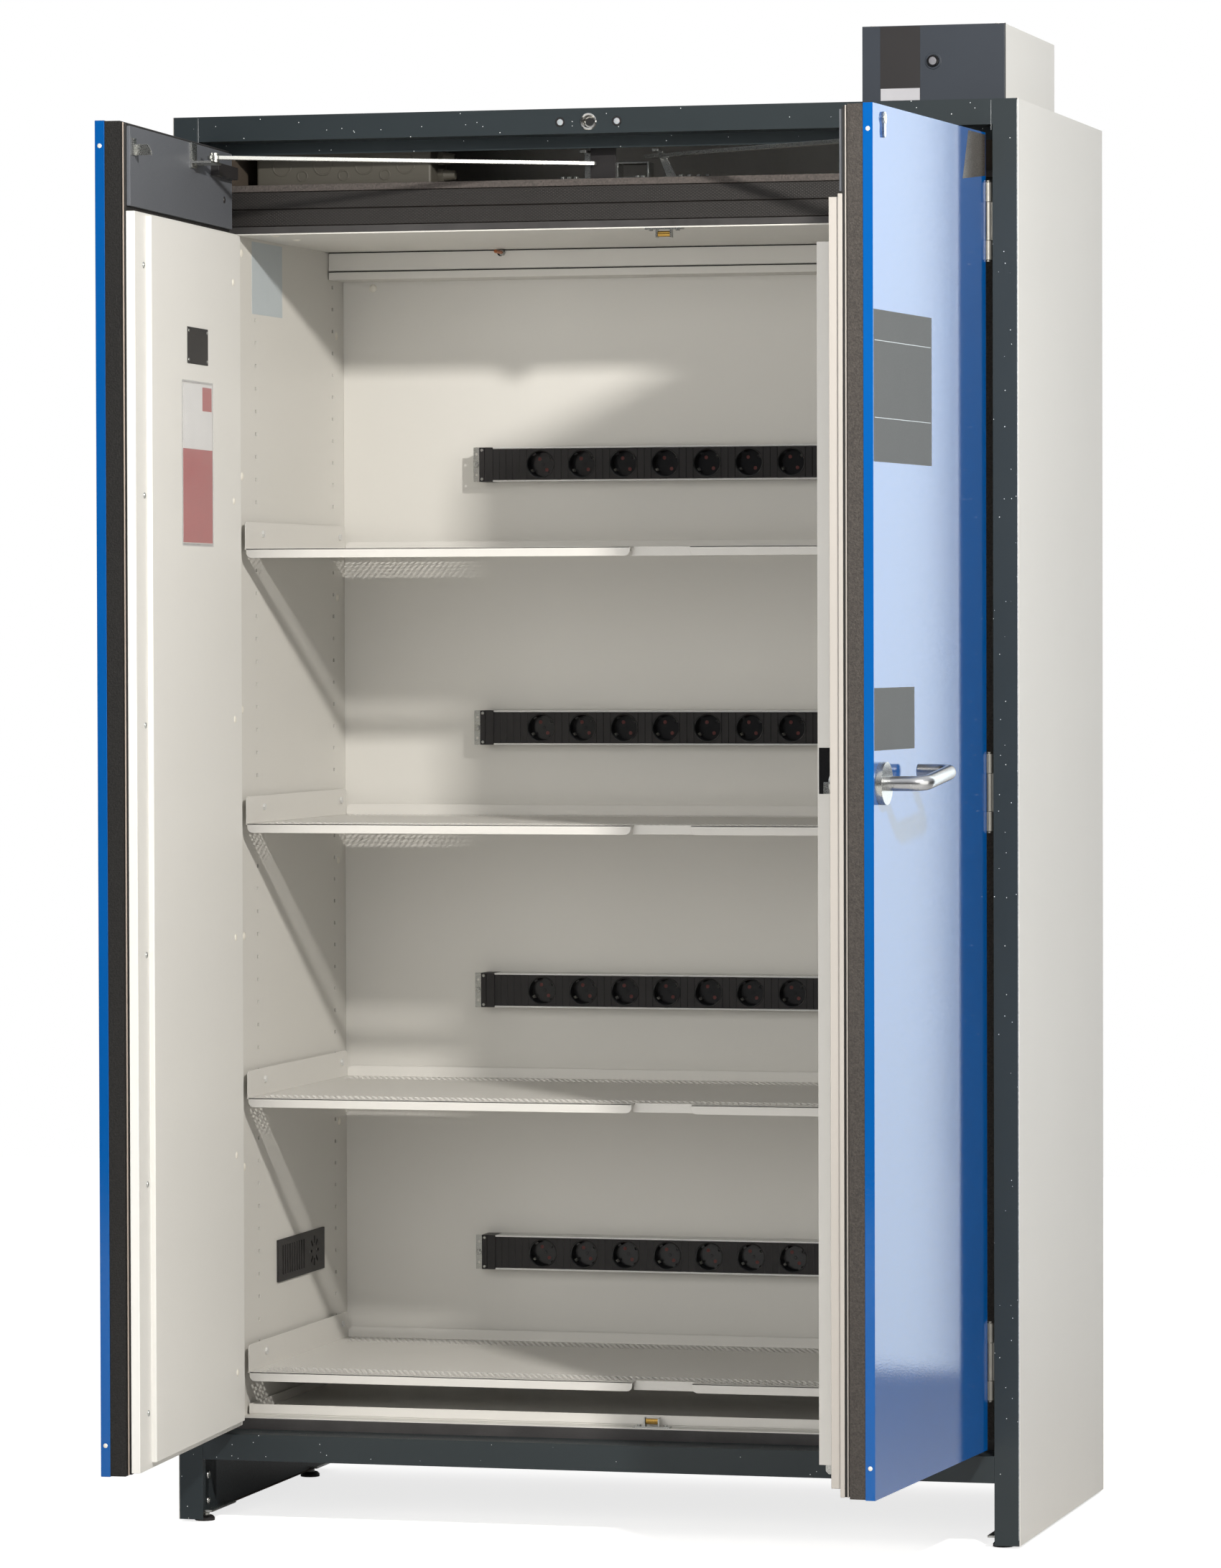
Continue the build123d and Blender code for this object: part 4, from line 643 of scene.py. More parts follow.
def makeSockets():
    look = stripLook
    faces, holes, clips, ribs, sheenRims = newMeshes(5)
    floorY = look["front"] + 0.5 + look["depth"]
    for level in look["heights"]:
        for k in range(look["count"]):
            x = look["middle"] + look["pitch"] * (k - (look["count"] - 1) / 2)
            ahead = frontPlace(x, floorY, level)
            # Recess: polished wall and floor, with a rounded lip at the mouth
            radius, depth = look["radius"], look["depth"]
            addTurned(faces, ((0, 0.6), (radius - 2.2, 0.6), (radius - 1.3, 1.4),
                              (radius - 1.0, depth - 1.2), (radius - 0.5, depth + 0.2),
                              (radius + 0.6, depth + 0.5), (radius + 1.3, depth)), ahead, 48)
            turn = radians(look["pinTurn"])
            for way in (-1, 1):
                pin = Vector((cos(turn), sin(turn), 0)) * look["pinReach"] * way
                addTurned(holes, ((0, 0.9), (look["pinRadius"], 0.9), (look["pinRadius"] + 0.2, 0.4)),
                          ahead @ Matrix.Translation(pin), 20)
                # Earth contact: a bent strip that stands out of a slot in the wall
                swing = ahead @ Matrix.Rotation(turn + pi / 2 * way, 4, "Z")
                reach = look["clipReach"]
                addPrism(clips, ((reach, 1), (reach, depth - 3), (reach - 2.6, depth - 6),
                                 (reach - 3.1, depth - 6.6), (reach - 3.1, depth - 8),
                                 (reach - 1, 5), (reach - 1, 1)), -2, 2,
                         swing @ Matrix.Rotation(pi / 2, 4, "X"))
                # Keys that guide the plug
                keyed = ahead @ Matrix.Rotation(turn + pi * (way > 0), 4, "Z")
                addBlock(faces, (radius - 3.4, -2.4, 0.6), (radius - 0.8, 2.4, depth - 2), keyed)
            addTurned(faces, ((0, 1.3), (1.8, 1.3), (2.3, 0.6)), ahead, 16)
            for rib in look["ribs"]:
                if rib < look["ribs"][-1] or k < look["count"] - 1:
                    addBlock(ribs, (x + rib - 0.35, look["front"] + 0.1, level - 22.4),
                             (x + rib + 0.35, look["front"] + 0.45, level + 22.4))
        for way in (-1, 1):
            rim = sorted((level + way * (look["height"] / 2 - 1.8), level + way * look["height"] / 2))
            addBlock(sheenRims, (look["middle"] - look["length"] / 2, look["front"] - 0.7, rim[0]),
                     (look["middle"] + look["length"] / 2, look["front"] + 2, rim[1]))
        for side in (-1, 1):
            edgeX = look["middle"] + side * look["length"] / 2
            for rib in look["endRibs"]:
                x = edgeX - side * rib
                addBlock(ribs, (x - 0.35, look["front"] + 0.1, level - 22.4),
                         (x + 0.35, look["front"] + 0.45, level + 22.4))
    newPiece("socket_recesses", faces, "polishedBlack", "socket_inserts")
    newPiece("socket_shutters", holes, "redShutter", "socket_inserts")
    newPiece("socket_earth_clips", clips, "zincPlate", "socket_inserts", edge=0.2)
    # The rims carry a painted sheen: a near-white line along each strip's top and bottom
    newPiece("strip_rim_sheen", sheenRims, "paintedSheenSatin", "strip_profiles", edge=0.3)
    newPiece("socket_module_joints", ribs, "polishedBlack", "socket_inserts")


def makeStripEnds():
    look = stripLook
    caps, tabs, screws = newMeshes(3)
    end = {"cap": 20.5, "tab": 9, "joint": 8, "back": 570}
    half = look["height"] / 2
    for level in look["heights"]:
        for side in (-1, 1):
            edgeX = look["middle"] + side * look["length"] / 2
            out = setAxes((edgeX, look["front"] - 1, level), (side, 0, 0), (0, 0, 1), (0, 1, 0))
            addBlock(caps, (0, -half, 0), (end["cap"] - end["joint"] - 0.2, half, 39), out)
            addBlock(caps, (end["cap"] - end["joint"] + 0.2, -half, 0.3), (end["cap"], half, 39), out)
            addBlock(caps, (2, -half + 1, 2), (end["cap"] - 1, half - 1, 38), out)
            for z in (-half + 4, half - 4):
                addTurned(screws, ((0, 0.2), (1.5, 0.2), (2.1, -0.3), (2.3, 0.5)),
                          out @ Matrix.Translation((end["cap"] - 4, z, 0)), 16)
            # Zinc angle: one leg along the cap, the other on the wall, with two slots and a screw
            addBlock(tabs, (end["cap"], -half, 1), (end["cap"] + 1.5, half, 40), out)
            wall = setAxes((edgeX + side * (end["cap"] + end["tab"] / 2 + 0.2), look["front"] + 1, level),
                           (side, 0, 0), (0, 0, 1), (0, 1, 0))
            addPlate(tabs, end["tab"] - 0.4, 2 * half, 1.5, wall, 2.0, ((0, -15), (0, 15)))
            head = wall @ Matrix.Rotation(pi, 4, "X")
            addTurned(screws, ((0, 0.9), (1.7, 0.9), (2.0, 2.4), (3.6, 2.1), (4.3, 1.2), (4.4, 0)), head, 24)
    newPiece("strip_end_caps", caps, "mouldedBlack", "strip_ends", swap=True, edge=0.5)
    newPiece("strip_brackets", tabs, "zincPlate", "strip_ends", swap=True, edge=0.25)
    newPiece("strip_screws", screws, "zincPlate", "strip_ends")


makeSockets()
makeStripEnds()
print("socket strips dressed")


# Signal lamps, fan unit and its button

def makeLamps():
    look = {"level": 1934.5, "pitch": 40, "lens": 4.6, "ring": 6.6, "sounder": 11.5}
    rings, lenses, bezel = newMeshes(3)
    for x in (-look["pitch"], look["pitch"]):
        ahead = frontPlace(x, 0, look["level"])
        addTurned(rings, ((look["lens"] - 0.4, 0.2), (look["lens"], 1.2), (look["ring"] - 0.5, 1.2),
                          (look["ring"], 0.6), (look["ring"], -1)), ahead, 32)
        addTurned(lenses, ((0, 1.1), (look["lens"] * 0.6, 0.9), (look["lens"], 0.2), (look["lens"], -1)),
                  ahead, 32)
    ahead = frontPlace(0, 0, look["level"])
    addTurned(bezel, ((0, -6), (5.6, -6), (7.2, -1), (8.6, 1.6), (10.4, 2.2), (look["sounder"], 1.2),
                      (look["sounder"], -1)), ahead, 48)
    newPiece("lamp_rings", rings, "mouldedBlack", "signal_lamps", swap=True)
    newPiece("lamp_lenses", lenses, "milkyLens", "signal_lamps")
    newPiece("sounder_bezel", bezel, "chromeBezel", "signal_lamps")


def makeFanFront():
    # The film's and its strip's corners, the button's middle and the joint beside the cover
    look = {"film": ((403, 19.75, 1954.5), (458, 20, 2054.5)),
            "strip": ((403.5, 19.6, 1954.8), (457.5, 19.76, 1971)),
            "button": (476, 20, 2007), "joint": ((573.6, 21.6, 1954), (574.8, 23.4, 2056))}
    film, strip, ring, lens, joint = newMeshes(5)
    addBlock(film, *look["film"])
    addBlock(strip, *look["strip"])
    addBlock(joint, *look["joint"])
    ahead = frontPlace(*look["button"])
    addTurned(ring, ((5.4, 4.2), (5.6, 5), (7.2, 5), (7.9, 4.4), (7.9, -3)), ahead, 40)
    addTurned(lens, ((0, 4.7), (3.2, 4.5), (5.4, 3.9), (5.5, 2)), ahead, 40)
    newPiece("fan_joint", joint, "darkRubber", "fan_cover")
    newPiece("fan_film", film, "mouldedBlack", "fan_front")
    newPiece("fan_film_strip", strip, "paintedShadeWhiteFilm", "fan_front")
    newPiece("button_ring", ring, "polishedBlack", "fan_button", swap=True)
    newPiece("button_lens", lens, "greyLens", "fan_button", swap=True)


makeLamps()
makeFanFront()
print("lamps and fan dressed")


# Shelves: perforated sheet, rounded lips and upstands

shelfLook = {
    "tops": (1356, 972, 588, 204), "half": 517, "front": 70, "back": 545, "sheet": 1.5,
    "lip": 13, "lipRound": 8, "lipGap": 2,
    "side": 37.5, "rear": 15, "upRound": 7, "notch": (38.5, 123.5), "notchBack": 90,
    "rows": 5, "rowStep": 11, "pitch": 8.8, "slotHalf": (3.1, 4.9), "frontBand": 83.5, "backBand": 485,
    "margin": 12, "hem": 9,
    "thin": 0.8,  # drawn thinner than the sheet between the slots, so that light falls through them
}


def addSlotCell(bm, left, right, low, high, z):
    # One cell of the sheet with a long hole whose ends are rounded
    a, b = shelfLook["slotHalf"]
    c = b - 0.6 * a
    x, y = (left + right) / 2, (low + high) / 2
    slot = [(x + i, y + j) for i, j in ((a, -c), (a, c), (a / 2, b), (-a / 2, b),
                                        (-a, c), (-a, -c), (-a / 2, -b), (a / 2, -b))]
    corners = ((right, low), (right, high), (left, high), (left, low))
    levels = []
    for level in (z, z - shelfLook["thin"]):
        inner = [bm.verts.new(frameAxes @ Vector((*p, level))) for p in slot]
        outer = [bm.verts.new(frameAxes @ Vector((*p, level))) for p in corners]
        for k in range(4):
            n = (k + 1) % 4
            bm.faces.new((outer[k], outer[n], inner[2 * k + 1], inner[2 * k]))
            bm.faces.new((outer[n], inner[(2 * k + 2) % 8], inner[2 * k + 1]))
        levels.append(inner)
    for k in range(8):
        n = (k + 1) % 8
        bm.faces.new((levels[0][k], levels[0][n], levels[1][n], levels[1][k]))


def addSlotRow(bm, left, right, low, shift, z):
    look = shelfLook
    high = low + look["rowStep"]
    count = int((right - left - shift) // look["pitch"])
    start = left + shift
    end = start + count * look["pitch"]
    for k in range(count):
        addSlotCell(bm, start + k * look["pitch"], start + (k + 1) * look["pitch"], low, high, z)
    for x0, x1 in ((left, start), (end, right)):
        if x1 - x0 > 0.01:
            addBlock(bm, (x0, low, z - look["sheet"]), (x1, high, z))


def makeShelf(number, z):
    look, node = shelfLook, f"shelf_{number}"
    half, front, back, sheet = (look[key] for key in ("half", "front", "back", "sheet"))
    under = z - sheet
    notch = look["notch"]
    deck, folds = newMeshes(2)
    for x0, x1 in ((-half, notch[0]), (notch[1], half)):
        addBlock(deck, (x0, front, under), (x1, look["frontBand"], z))
    for row in range(look["rows"]):
        shift = look["pitch"] / 2 * (row % 2)
        low = look["frontBand"] + row * look["rowStep"]
        spans = ((-half, half),) if row > 1 else ((-half, notch[0]), (notch[1], half))
        for x0, x1 in spans:
            edges = [x0 + look["margin"] * (x0 == -half), x1 - look["margin"] * (x1 == half)]
            addSlotRow(deck, *edges, low, shift, z)
        low = look["backBand"] + row * look["rowStep"]
        addSlotRow(deck, -half + look["margin"], half - look["margin"], low, shift, z)
    bandEnd = look["rows"] * look["rowStep"]
    addBlock(deck, (notch[0], look["notchBack"] + sheet, under),
             (notch[1], look["frontBand"] + 2 * look["rowStep"], z))
    addBlock(deck, (-half, look["frontBand"] + bandEnd, under), (half, look["backBand"], z))
    addBlock(deck, (-half, look["backBand"] + bandEnd, under), (half, back, z))
    for x0, x1 in ((-half, -half + look["margin"]), (half - look["margin"], half)):
        for band in (look["frontBand"], look["backBand"]):
            addBlock(deck, (x0, band, under), (x1, band + bandEnd, z))
    newPiece(f"{node}_deck", deck, "lightGreyCoat", node, swap=True)

    # Front lip with rounded lower corners, its hem, and the folded edge of the notch
    facing = setAxes((0, front, 0), (1, 0, 0), (0, 0, 1), (0, 1, 0))
    foot, r = z - look["lip"], look["lipRound"]
    for x0, x1 in ((-half + look["lipGap"], notch[0]), (notch[1], half - look["lipGap"])):
        outline = [(x0, z), *arc((x0 + r, foot + r), r, 180, 270),
                   *arc((x1 - r, foot + r), r, 270, 360), (x1, z)]
        addPrism(folds, outline, 0, sheet, facing)
        addBlock(folds, (x0 + 4 * r, front + sheet, foot), (x1 - 1.5 * r, front + look["hem"], foot + 1.2))
    addBlock(folds, (notch[0] - 3, look["notchBack"], foot), (notch[1] + 3, look["notchBack"] + sheet, z))
    # Upstands at the sides and the back
    r = look["upRound"]
    for x in (-half, half - sheet):
        beside = setAxes((x, 0, 0), (0, 1, 0), (0, 0, 1), (1, 0, 0))
        top = z + look["side"]
        addPrism(folds, [(front + 0.6, z), (back, z), *arc((back - r, top - r), r, 0, 90),
                         *arc((front + 0.6 + r, top - r), r, 90, 180)], 0, sheet, beside)
    behind = setAxes((0, back - sheet, 0), (1, 0, 0), (0, 0, 1), (0, 1, 0))
    top = z + look["rear"]
    x0, x1 = -half + sheet + 0.8, half - sheet - 0.8
    addPrism(folds, [(x0, z), (x1, z), *arc((x1 - r, top - r), r, 0, 90),
                     *arc((x0 + r, top - r), r, 90, 180)], 0, sheet, behind)
    newPiece(f"{node}_folds", folds, "lightGreyCoat", node, swap=True, edge=0.35)


for number, top in enumerate(shelfLook["tops"], 1):
    makeShelf(number, top)
print("shelves made")


# Frame seal round the chamber's mouth: foam, two woven bands, smooth lips and side strips

def makeFrameSeal():
    half, mouth, front, back = 561, 527, 62, 66
    strips = {
        "seal_foam": ("foamStrip", ((-half, front - 0.6, 1852), (half, back, 1861.4)), 0.8),
        "seal_band_upper": ("wovenBand", ((-half, front - 1, 1827.8), (half, back, 1851.4)), 1.6),
        "seal_band_lower": ("wovenBand", ((-half, front - 1, 1804.2), (half, back, 1827.2)), 1.6),
        "seal_lip_top": ("scuffedRubber", ((-half, front - 0.4, 1794), (half, back, 1803.6)), 0.8),
        "seal_lip_bottom": ("scuffedRubber", ((-half, front - 0.4, 112), (half, back, 139.8)), 0.8),
        "seal_side_left": ("roughEdge", ((-half, front, 140.2), (-mouth - 0.2, back, 1793.6)), 0.6),
        "seal_side_right": ("roughEdge", ((mouth + 0.2, front, 140.2), (half, back, 1793.6)), 0.6),
    }
    for name, (finish, (low, high), edge) in strips.items():
        strip = bmesh.new()
        addBlock(strip, low, high)
        newPiece(name, strip, finish, "seal_frame", swap=True, edge=edge, segments=3)


makeFrameSeal()


# Small pieces in the chamber: blanking plugs, bare foil plate, spray nozzle

chamberLook = {
    "half": 525, "ceiling": 1792, "ductFront": 494.2,
    "wallPlugs": ((85, 1769), (84, 1457), (80, 1131), (85, 814), (82, 490),
                  (534, 522), (534, 905), (534, 1290), (534, 1672)),
    "ceilingPlugs": ((474, 82), (474, 181)), "rearPlug": (479.4, 570, 1743),
    "foil": ((132.5, 1686.5), (272.5, 1788)),
    # joints: a dark joint above the lip, and a painted shadow line where the duct meets the ceiling
    "ductHalf": 523.5, "lip": (492.6, 1752.2, 1762.6), "joints": ((1762.7, 1764.2), (1790.2, 1791.6)),
    "nozzle": {"place": (-260.5, 494, 1787.2), "reach": 39, "holeAside": (-3.5, -0.2, 0)},
}


def makeChamberPieces():
    look = chamberLook
    plug = ((0, 2.0), (2.6, 1.8), (4.8, 1.0), (5.9, 0.0), (5.9, -0.5))
    plugs, foil, lip, joints, pipe, nut, hole = newMeshes(7)
    for side in (-1, 1):
        for y, z in look["wallPlugs"]:
            addTurned(plugs, plug, wallPlace(side, look["half"], y, z), 24)
        for x, y in look["ceilingPlugs"]:
            down = setAxes((side * x, y, look["ceiling"]), (1, 0, 0), (0, 1, 0), (0, 0, -1))
            addTurned(plugs, plug, down, 24)
        x, y, z = look["rearPlug"]
        addTurned(plugs, plug, frontPlace(side * x, y, z), 24)
    newPiece("chamber_plugs", plugs, "whitePlug", "chamber_walls")

    corner, far = look["foil"]
    addBlock(foil, (-look["half"], *corner), (-look["half"] + 0.3, *far))
    newPiece("wall_foil", foil, "paleFoil", "chamber_walls")

    half, back = look["ductHalf"], look["ductFront"]
    front, low, high = look["lip"]
    addBlock(lip, (-half, front, low), (half, back, high))
    # Two dark lines: the lower one is the joint above the lip, the upper one is a painted shadow in the gap
    # under the ceiling
    for low, high in look["joints"]:
        addBlock(joints, (-half, back - 0.8, low), (half, back, high))
    newPiece("duct_lip", lip, "chamberSheet", "exhaust_duct", edge=0.5)
    newPiece("duct_joint_and_shadow_lines", joints, "darkRubber", "exhaust_duct")

    # Spray nozzle: pipe end, nut and the hole beside them, drawn as a flat black disc of painted shade
    ahead, reach = frontPlace(*look["nozzle"]["place"]), look["nozzle"]["reach"]
    addTurned(pipe, ((0, reach - 1.2), (1.2, reach - 1.2), (1.5, reach), (2.4, reach), (2.6, reach - 1),
                     (2.6, 0)), ahead, 24)
    addTurned(nut, ((2.6, 8), (3.6, 7.6), (4.3, 6.6), (4.3, 0.6), (4.6, 0.3), (4.6, 0)), ahead, 6)
    addTurned(hole, ((0, 0.15), (4.4, 0.15), (4.7, 0)),
              ahead @ Matrix.Translation(look["nozzle"]["holeAside"]), 24)
    newPiece("nozzle_pipe", pipe, "copperPipe", "exhaust_duct")
    newPiece("nozzle_nut", nut, "zincPlate", "exhaust_duct")
    newPiece("nozzle_hole_shade", hole, "polishedBlack", "exhaust_duct")


makeChamberPieces()


# Doors: seals round the edges, plugs, screws, plate, pouch and bare label places

doorLook = {
    "width": 546.5, "seal": ((4, 138), (542.5, 1903)), "bead": 37.0, "ribs": (38.75, 39.7, 40.65),
    "edgePlugs": (175, 1874), "ledge": 53, "panel": 60,
}


def makeDoorSeals():
    low, high = doorLook["seal"]
    for name, place in doorPlaces.items():
        bead, ribs, plugs = newMeshes(3)
        at = doorLook["bead"]
        addLoop(bead, low, high, ((-0.2, at - 1.2), (0.9, at - 0.9), (1.6, at), (0.9, at + 0.9),
                                  (-0.2, at + 1.2)), place)
        for rib in doorLook["ribs"]:
            addLoop(ribs, low, high, ((-0.2, rib - 0.42), (0.7, rib - 0.34), (1.0, rib), (0.7, rib + 0.34),
                                      (-0.2, rib + 0.42)), place)
        for z in doorLook["edgePlugs"]:
            addTurned(plugs, ((0, 1.0), (1.6, 0.9), (2.8, 0.3), (3.0, 0), (3.0, -0.5)),
                      onDoor(name, doorLook["width"], 6.5, z, "edge"), 24)
        newPiece(f"{name}_door_bead", bead, doorFinishes[name]["bead"], f"{name}_door_core")
        newPiece(f"{name}_door_ribs", ribs, "darkRubber", f"{name}_door_core")
        newPiece(f"{name}_door_edge_plugs", plugs, "whitePlug", f"{name}_door_skin")


def makeDoorInsides():
    look = {"screws": (503, 213.5, 301.4), "plugs": (59, 218, 300.4), "count": 6,  # u, first z, step
            "plate": ((199.5, 1600, 0), (306.5, 1649, 0.9)), "rivetsU": (205, 301), "rivetsZ": (1605, 1644),
            "fixing": (51.8, 46, 1833.9)}
    panel = doorLook["panel"]
    screws, plugs = newMeshes(2)
    for k in range(look["count"]):
        u, first, step = look["screws"]
        addHead(screws, onDoor("left", u, doorLook["ledge"], first + step * k))
        u, first, step = look["plugs"]
        addTurned(plugs, ((0, 1.8), (2.4, 1.6), (4.3, 0.9), (5.2, 0), (5.2, -0.5)),
                  onDoor("left", u, panel, first + step * k), 24)
    newPiece("left_door_liner_screws", screws, "zincPlate", "left_door_liner")
    newPiece("left_door_liner_plugs", plugs, "whitePlug", "left_door_liner")

    # Black plate on four rivets, left bare
    place = onDoor("left", 0, panel, 0)
    plate, rivets = newMeshes(2)
    addBlock(plate, *look["plate"], place)
    for u in look["rivetsU"]:
        for z in look["rivetsZ"]:
            addTurned(rivets, ((0, 2.2), (1.4, 1.9), (2.3, 1.0), (2.4, 0.8)), onDoor("left", u, panel, z), 16)
    newPiece("left_door_plate", plate, "mouldedBlack", "left_door_liner", edge=0.3)
    newPiece("left_door_plate_rivets", rivets, "zincPlate", "left_door_liner")

    # Clear pouch with two bare sheets
    white, red, film = newMeshes(3)
    addBlock(white, (177, 1486, 0.1), (331, 1573, 0.35), place)
    addBlock(red, (177, 1360, 0.1), (331, 1485.6, 0.35), place)
    addBlock(red, (180, 1538, 0.36), (229, 1570, 0.42), place)
    addBlock(film, (172, 1355, 0.75), (336, 1578, 0.9), place)
    addLoop(film, (176, 1359), (332, 1574),
            ((0, panel), (0, panel + 1), (3, panel + 1), (3, panel)), doorPlaces["left"])
    newPiece("pouch_sheet_white", white, "whitePaper", "left_door_liner")
    newPiece("pouch_sheet_red", red, "redPaper", "left_door_liner")
    newPiece("pouch_film", film, "clearFilm", "left_door_liner")

    # Block with its fixing hole beside the stay's bracket
    hole = bmesh.new()
    addTurned(hole, ((0, 0.15), (2.2, 0.15), (2.4, 1.2), (4.3, 1.1), (4.8, 0.4), (4.9, 0)),
              onDoor("left", *look["fixing"]), 24)
    newPiece("left_door_plate_screw", hole, "mouldedBlack", "left_door_top_plate")


def makeHandle():
    look = {"u": 516, "z": 1045, "reach": 58, "length": 130, "rise": 13, "back": 45, "radius": 9.5,
            "bend": 19, "latch": (62, 31, 4), "latchHub": 11, "latchHalf": 4.5,
            "window": ((503.6, 63, 1031), (503.9, 85.2, 1090)),
            "stub": ((503.9, 66.8, 1031.2), (505.2, 79, 1046))}
    place = doorPlaces["right"]
    u, z, far = look["u"], look["z"], look["u"] - look["length"]
    grip, latch = newMeshes(2)
    high = z + look["rise"]
    addTube(grip, ((u, -0.5, z), (u, -look["reach"], z), (far, -look["reach"], high),
                   (far, look["back"] - look["reach"], high)), look["radius"], look["bend"], place)
    low, reach, thick = look["latch"]
    hub, half = look["latchHub"], look["latchHalf"]
    addTurned(latch, ((0, 0), (hub, 0), (hub, thick), (0, thick)), onDoor("right", u, low, z), 32)
    addBlock(latch, (u - reach, low, z - half), (u, low + thick, z + half), place)
    newPiece("lever_grip", grip, "brushedStainless", "lever_handle", swap=True, edge=0.8)
    newPiece("latch_lever", latch, "zincPlate", "lever_handle", swap=True, edge=0.3)

    # Grub screw in the lever's neck, and the lock cover's window with the latch behind it
    grub, window, stub = newMeshes(3)
    addTurned(grub, ((0, -1), (1.6, -1), (1.8, 0.2), (2.4, 0.2), (2.5, -0.4)),
              onDoor("right", u + look["radius"] - 0.2, -18, z - 3, "edge"), 16)
    addBlock(window, *look["window"], place)
    addBlock(stub, *look["stub"], place)
    newPiece("lever_grub_screw", grub, "zincPlate", "lever_handle")
    newPiece("lock_window", window, "polishedBlack", "lock_cover")
    newPiece("lock_window_latch", stub, "zincPlate", "lock_cover", edge=0.4)


def makeLabelPlaces():
    # Films on the right door's outer face, with nothing printed on them
    films = {
        "label_large": ("darkFilm", ((271.5, 1453.5), (544, 1453.5), (544, 1646.5), (271.5, 1646.5))),
        "label_small": ("darkFilm", ((357, 1087), (544, 1087), (544, 1166.5), (357, 1166.5))),
        "label_corner": ("brownFilm", ((2, 1849), (117, 1838), (88, 1904), (2, 1904))),
    }
    for name, (finish, outline) in films.items():
        film = bmesh.new()
        addPrism(film, outline, 0, 0.15, onDoor("right", 0, 0, 0, "out"))
        newPiece(name, film, finish, "right_door_skin")
    rules = bmesh.new()
    for z in (1607, 1509):
        addBlock(rules, (276, z, 0.14), (540, z + 0.9, 0.22), onDoor("right", 0, 0, 0, "out"))
    newPiece("label_rules", rules, "paleFoil", "right_door_skin")


makeDoorSeals()
makeDoorInsides()
makeHandle()
makeLabelPlaces()
print("doors dressed")


# Camera at the photograph's viewing angle

view = {"place": (2331.0, -8744.5, 1241.0), "yaw": 14.7517, "pitch": -1.3324, "roll": -0.1648,
        "focalPixels": 9221.16, "frameHeight": 2184, "sensor": 36.0}


def makeCamera():
    yaw, pitch, roll = (radians(view[key]) for key in ("yaw", "pitch", "roll"))
    ahead = Vector((-sin(yaw), cos(yaw), 0))
    right = Vector((cos(yaw), sin(yaw), 0))
    up = Vector((0, 0, 1))
    sight = ahead * cos(pitch) + up * sin(pitch)
    lifted = up * cos(pitch) - ahead * sin(pitch)
    rolledRight = right * cos(roll) + lifted * sin(roll)
    rolledUp = lifted * cos(roll) - right * sin(roll)
    lens = bpy.data.cameras.new("camera")
    lens.sensor_width = view["sensor"]
    lens.lens = view["focalPixels"] / view["frameHeight"] * view["sensor"]
    lens.clip_end = 100
    camera = addObject("camera", lens)
    place = Matrix.Identity(4)
    for i, axis in enumerate((rolledRight, rolledUp, -sight)):
        place.col[i][:3] = axis
    place.col[3][:3] = Vector(view["place"]) * mm
    camera.matrix_world = place
    bpy.context.scene.camera = camera


makeCamera()

# Light, world and floor

lights = {
    # Small hard key from the upper right, which throws the shelves' shadows on the wall
    "key": {"place": (1830, -2400, 2620), "aim": (-200, 400, 1000), "size": 130, "power": 104,
            "colour": "#fffbf5"},
    "fill": {"place": (-300, -5600, 1700), "aim": (0, 0, 1000), "size": 2600, "power": 105,
             "colour": "#fffefb", "glossy": False},
}

# Upright studio cards, seen only in reflections: ends and levels in mm, and how bright each one is
cards = {
    "doorCard": {"from": (1288, 2000), "to": (2100, 2000), "levels": (-600, 3400),
                 "strength": 2.85, "colour": "#f4fcff"},
    "rightCard": {"from": (2600, -3400), "to": (4400, -400), "levels": (-200, 2800),
                  "strength": 2.2, "colour": "#fffcf6"},
    "sideCard": {"from": (620, 2000), "to": (1140, 2000), "levels": (-600, 3400),
                 "strength": 0.9, "colour": "#fffefa"},
}
cardFade = {"low": 0.8, "high": 1.08, "height": 2.0}  # share of the strength at the floor and at 2 m
room = {"ambient": 0.34, "ambientColour": "#fdfdff", "colour": "#f6f7fa", "below": 0.07, "above": 1.0,
        "rise": (0.1, 0.7)}
paperFloor = {"half": 6000, "thick": 20, "colour": "#f2f1ef", "lift": 0.76}


def makeLights():
    for name, spec in lights.items():
        lamp = bpy.data.lights.new(name, "AREA")
        lamp.size = spec["size"] * mm
        lamp.energy = spec["power"]
        lamp.color = hexColour(spec["colour"])[:3]
        fixture = addObject(name, lamp)
        fixture.visible_glossy = spec.get("glossy", True)
        place = Vector(spec["place"]) * mm
        aim = Vector(spec["aim"]) * mm - place
        fixture.matrix_world = Matrix.Translation(place) @ aim.to_track_quat("-Z", "Y").to_matrix().to_4x4()


def makeCards():
    for name, spec in cards.items():
        mesh = bpy.data.meshes.new(name)
        corners = [Vector((*spec[end], spec["levels"][upper])) * mm
                   for end, upper in (("from", 0), ("to", 0), ("to", 1), ("from", 1))]
        mesh.from_pydata(corners, [], [(0, 1, 2, 3)])
        material, tree = newMaterial(name, emptied=True)
        # Each card is a little weaker towards the floor
        height = addNode(tree, "ShaderNodeSeparateXYZ",
                         {"Vector": addNode(tree, "ShaderNodeTexCoord").outputs["Object"]})
        fade = addNode(tree, "ShaderNodeMapRange",
                       {"Value": height.outputs["Z"], "From Min": 0.0, "From Max": cardFade["height"],
                        "To Min": cardFade["low"] * spec["strength"],
                        "To Max": cardFade["high"] * spec["strength"]})
        glow = addNode(tree, "ShaderNodeEmission",
                       {"Color": hexColour(spec["colour"]), "Strength": fade.outputs[0]})
        addNode(tree, "ShaderNodeOutputMaterial", {"Surface": glow.outputs[0]})
        mesh.materials.append(material)
        card = addObject(name, mesh)
        card.visible_camera = False
        card.visible_diffuse = False
        card.visible_shadow = False
        card.visible_transmission = False


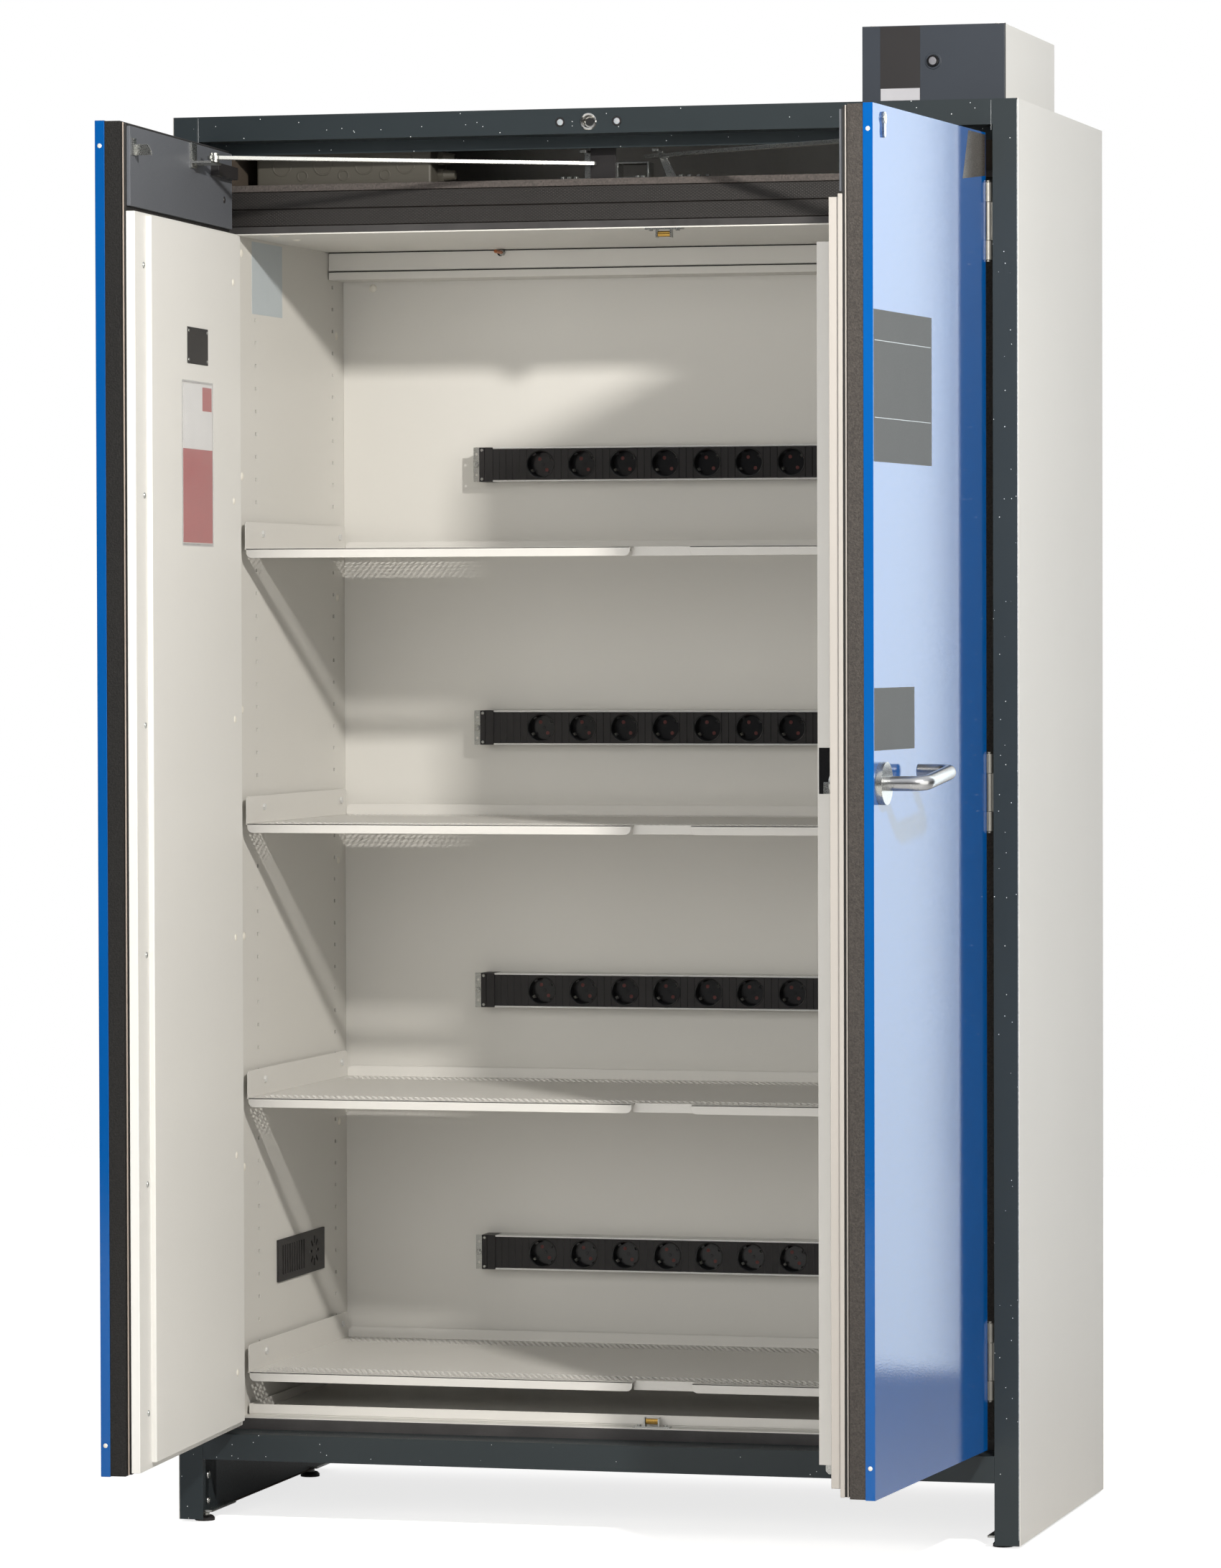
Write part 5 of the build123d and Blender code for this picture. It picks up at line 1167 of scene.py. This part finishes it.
def makeWorld():
    world = bpy.data.worlds.new("studio")
    world.use_nodes = True
    tree = world.node_tree
    tree.nodes.clear()
    rays = addNode(tree, "ShaderNodeLightPath")
    # White for the camera, a dim room for reflections and a soft pale one for everything else
    white = addNode(tree, "ShaderNodeMath",
                    {0: rays.outputs["Is Camera Ray"], 1: rays.outputs["Is Transmission Ray"]},
                    operation="MAXIMUM")
    ambient = addNode(tree, "ShaderNodeBackground",
                      {"Color": hexColour(room["ambientColour"]), "Strength": room["ambient"]})
    height = addNode(tree, "ShaderNodeSeparateXYZ",
                     {"Vector": addNode(tree, "ShaderNodeTexCoord").outputs["Generated"]})
    low, high = room["rise"]
    rise = addNode(tree, "ShaderNodeMapRange",
                   {"Value": height.outputs["Z"], "From Min": low, "From Max": high,
                    "To Min": room["below"], "To Max": room["above"]})
    dim = addNode(tree, "ShaderNodeBackground",
                  {"Color": hexColour(room["colour"]), "Strength": rise.outputs[0]})
    backdrop = addNode(tree, "ShaderNodeBackground", {"Color": (1, 1, 1, 1), "Strength": 1.0})
    soft = addNode(tree, "ShaderNodeMixShader",
                   {0: rays.outputs["Is Glossy Ray"], 1: ambient.outputs[0], 2: dim.outputs[0]})
    mix = addNode(tree, "ShaderNodeMixShader",
                  {0: white.outputs[0], 1: soft.outputs[0], 2: backdrop.outputs[0]})
    addNode(tree, "ShaderNodeOutputWorld", {"Surface": mix.outputs[0]})
    bpy.context.scene.world = world


def makeFloor():
    floor = bmesh.new()
    half = paperFloor["half"]
    addBlock(floor, (-half, -half, -paperFloor["thick"]), (half, half, 0))
    mesh = bpy.data.meshes.new("floor")
    floor.to_mesh(mesh)
    floor.free()
    material, tree = newMaterial("paleFloor", emptied=True)
    rays = addNode(tree, "ShaderNodeLightPath")
    paper = addNode(tree, "ShaderNodeBsdfDiffuse", {"Color": hexColour(paperFloor["colour"])})
    # Lifts the paper to the backdrop's white for the camera, and leaves the shadow on it
    glow = addNode(tree, "ShaderNodeEmission", {"Strength": paperFloor["lift"]})
    lit = addNode(tree, "ShaderNodeAddShader", {0: paper.outputs[0], 1: glow.outputs[0]})
    mix = addNode(tree, "ShaderNodeMixShader",
                  {0: rays.outputs["Is Camera Ray"], 1: paper.outputs[0], 2: lit.outputs[0]})
    addNode(tree, "ShaderNodeOutputMaterial", {"Surface": mix.outputs[0]})
    mesh.materials.append(material)
    slab = addObject("floor", mesh)


makeCards()
makeLights()
makeWorld()
makeFloor()
bpy.context.scene.view_settings.view_transform = "Standard"
print("stage set")
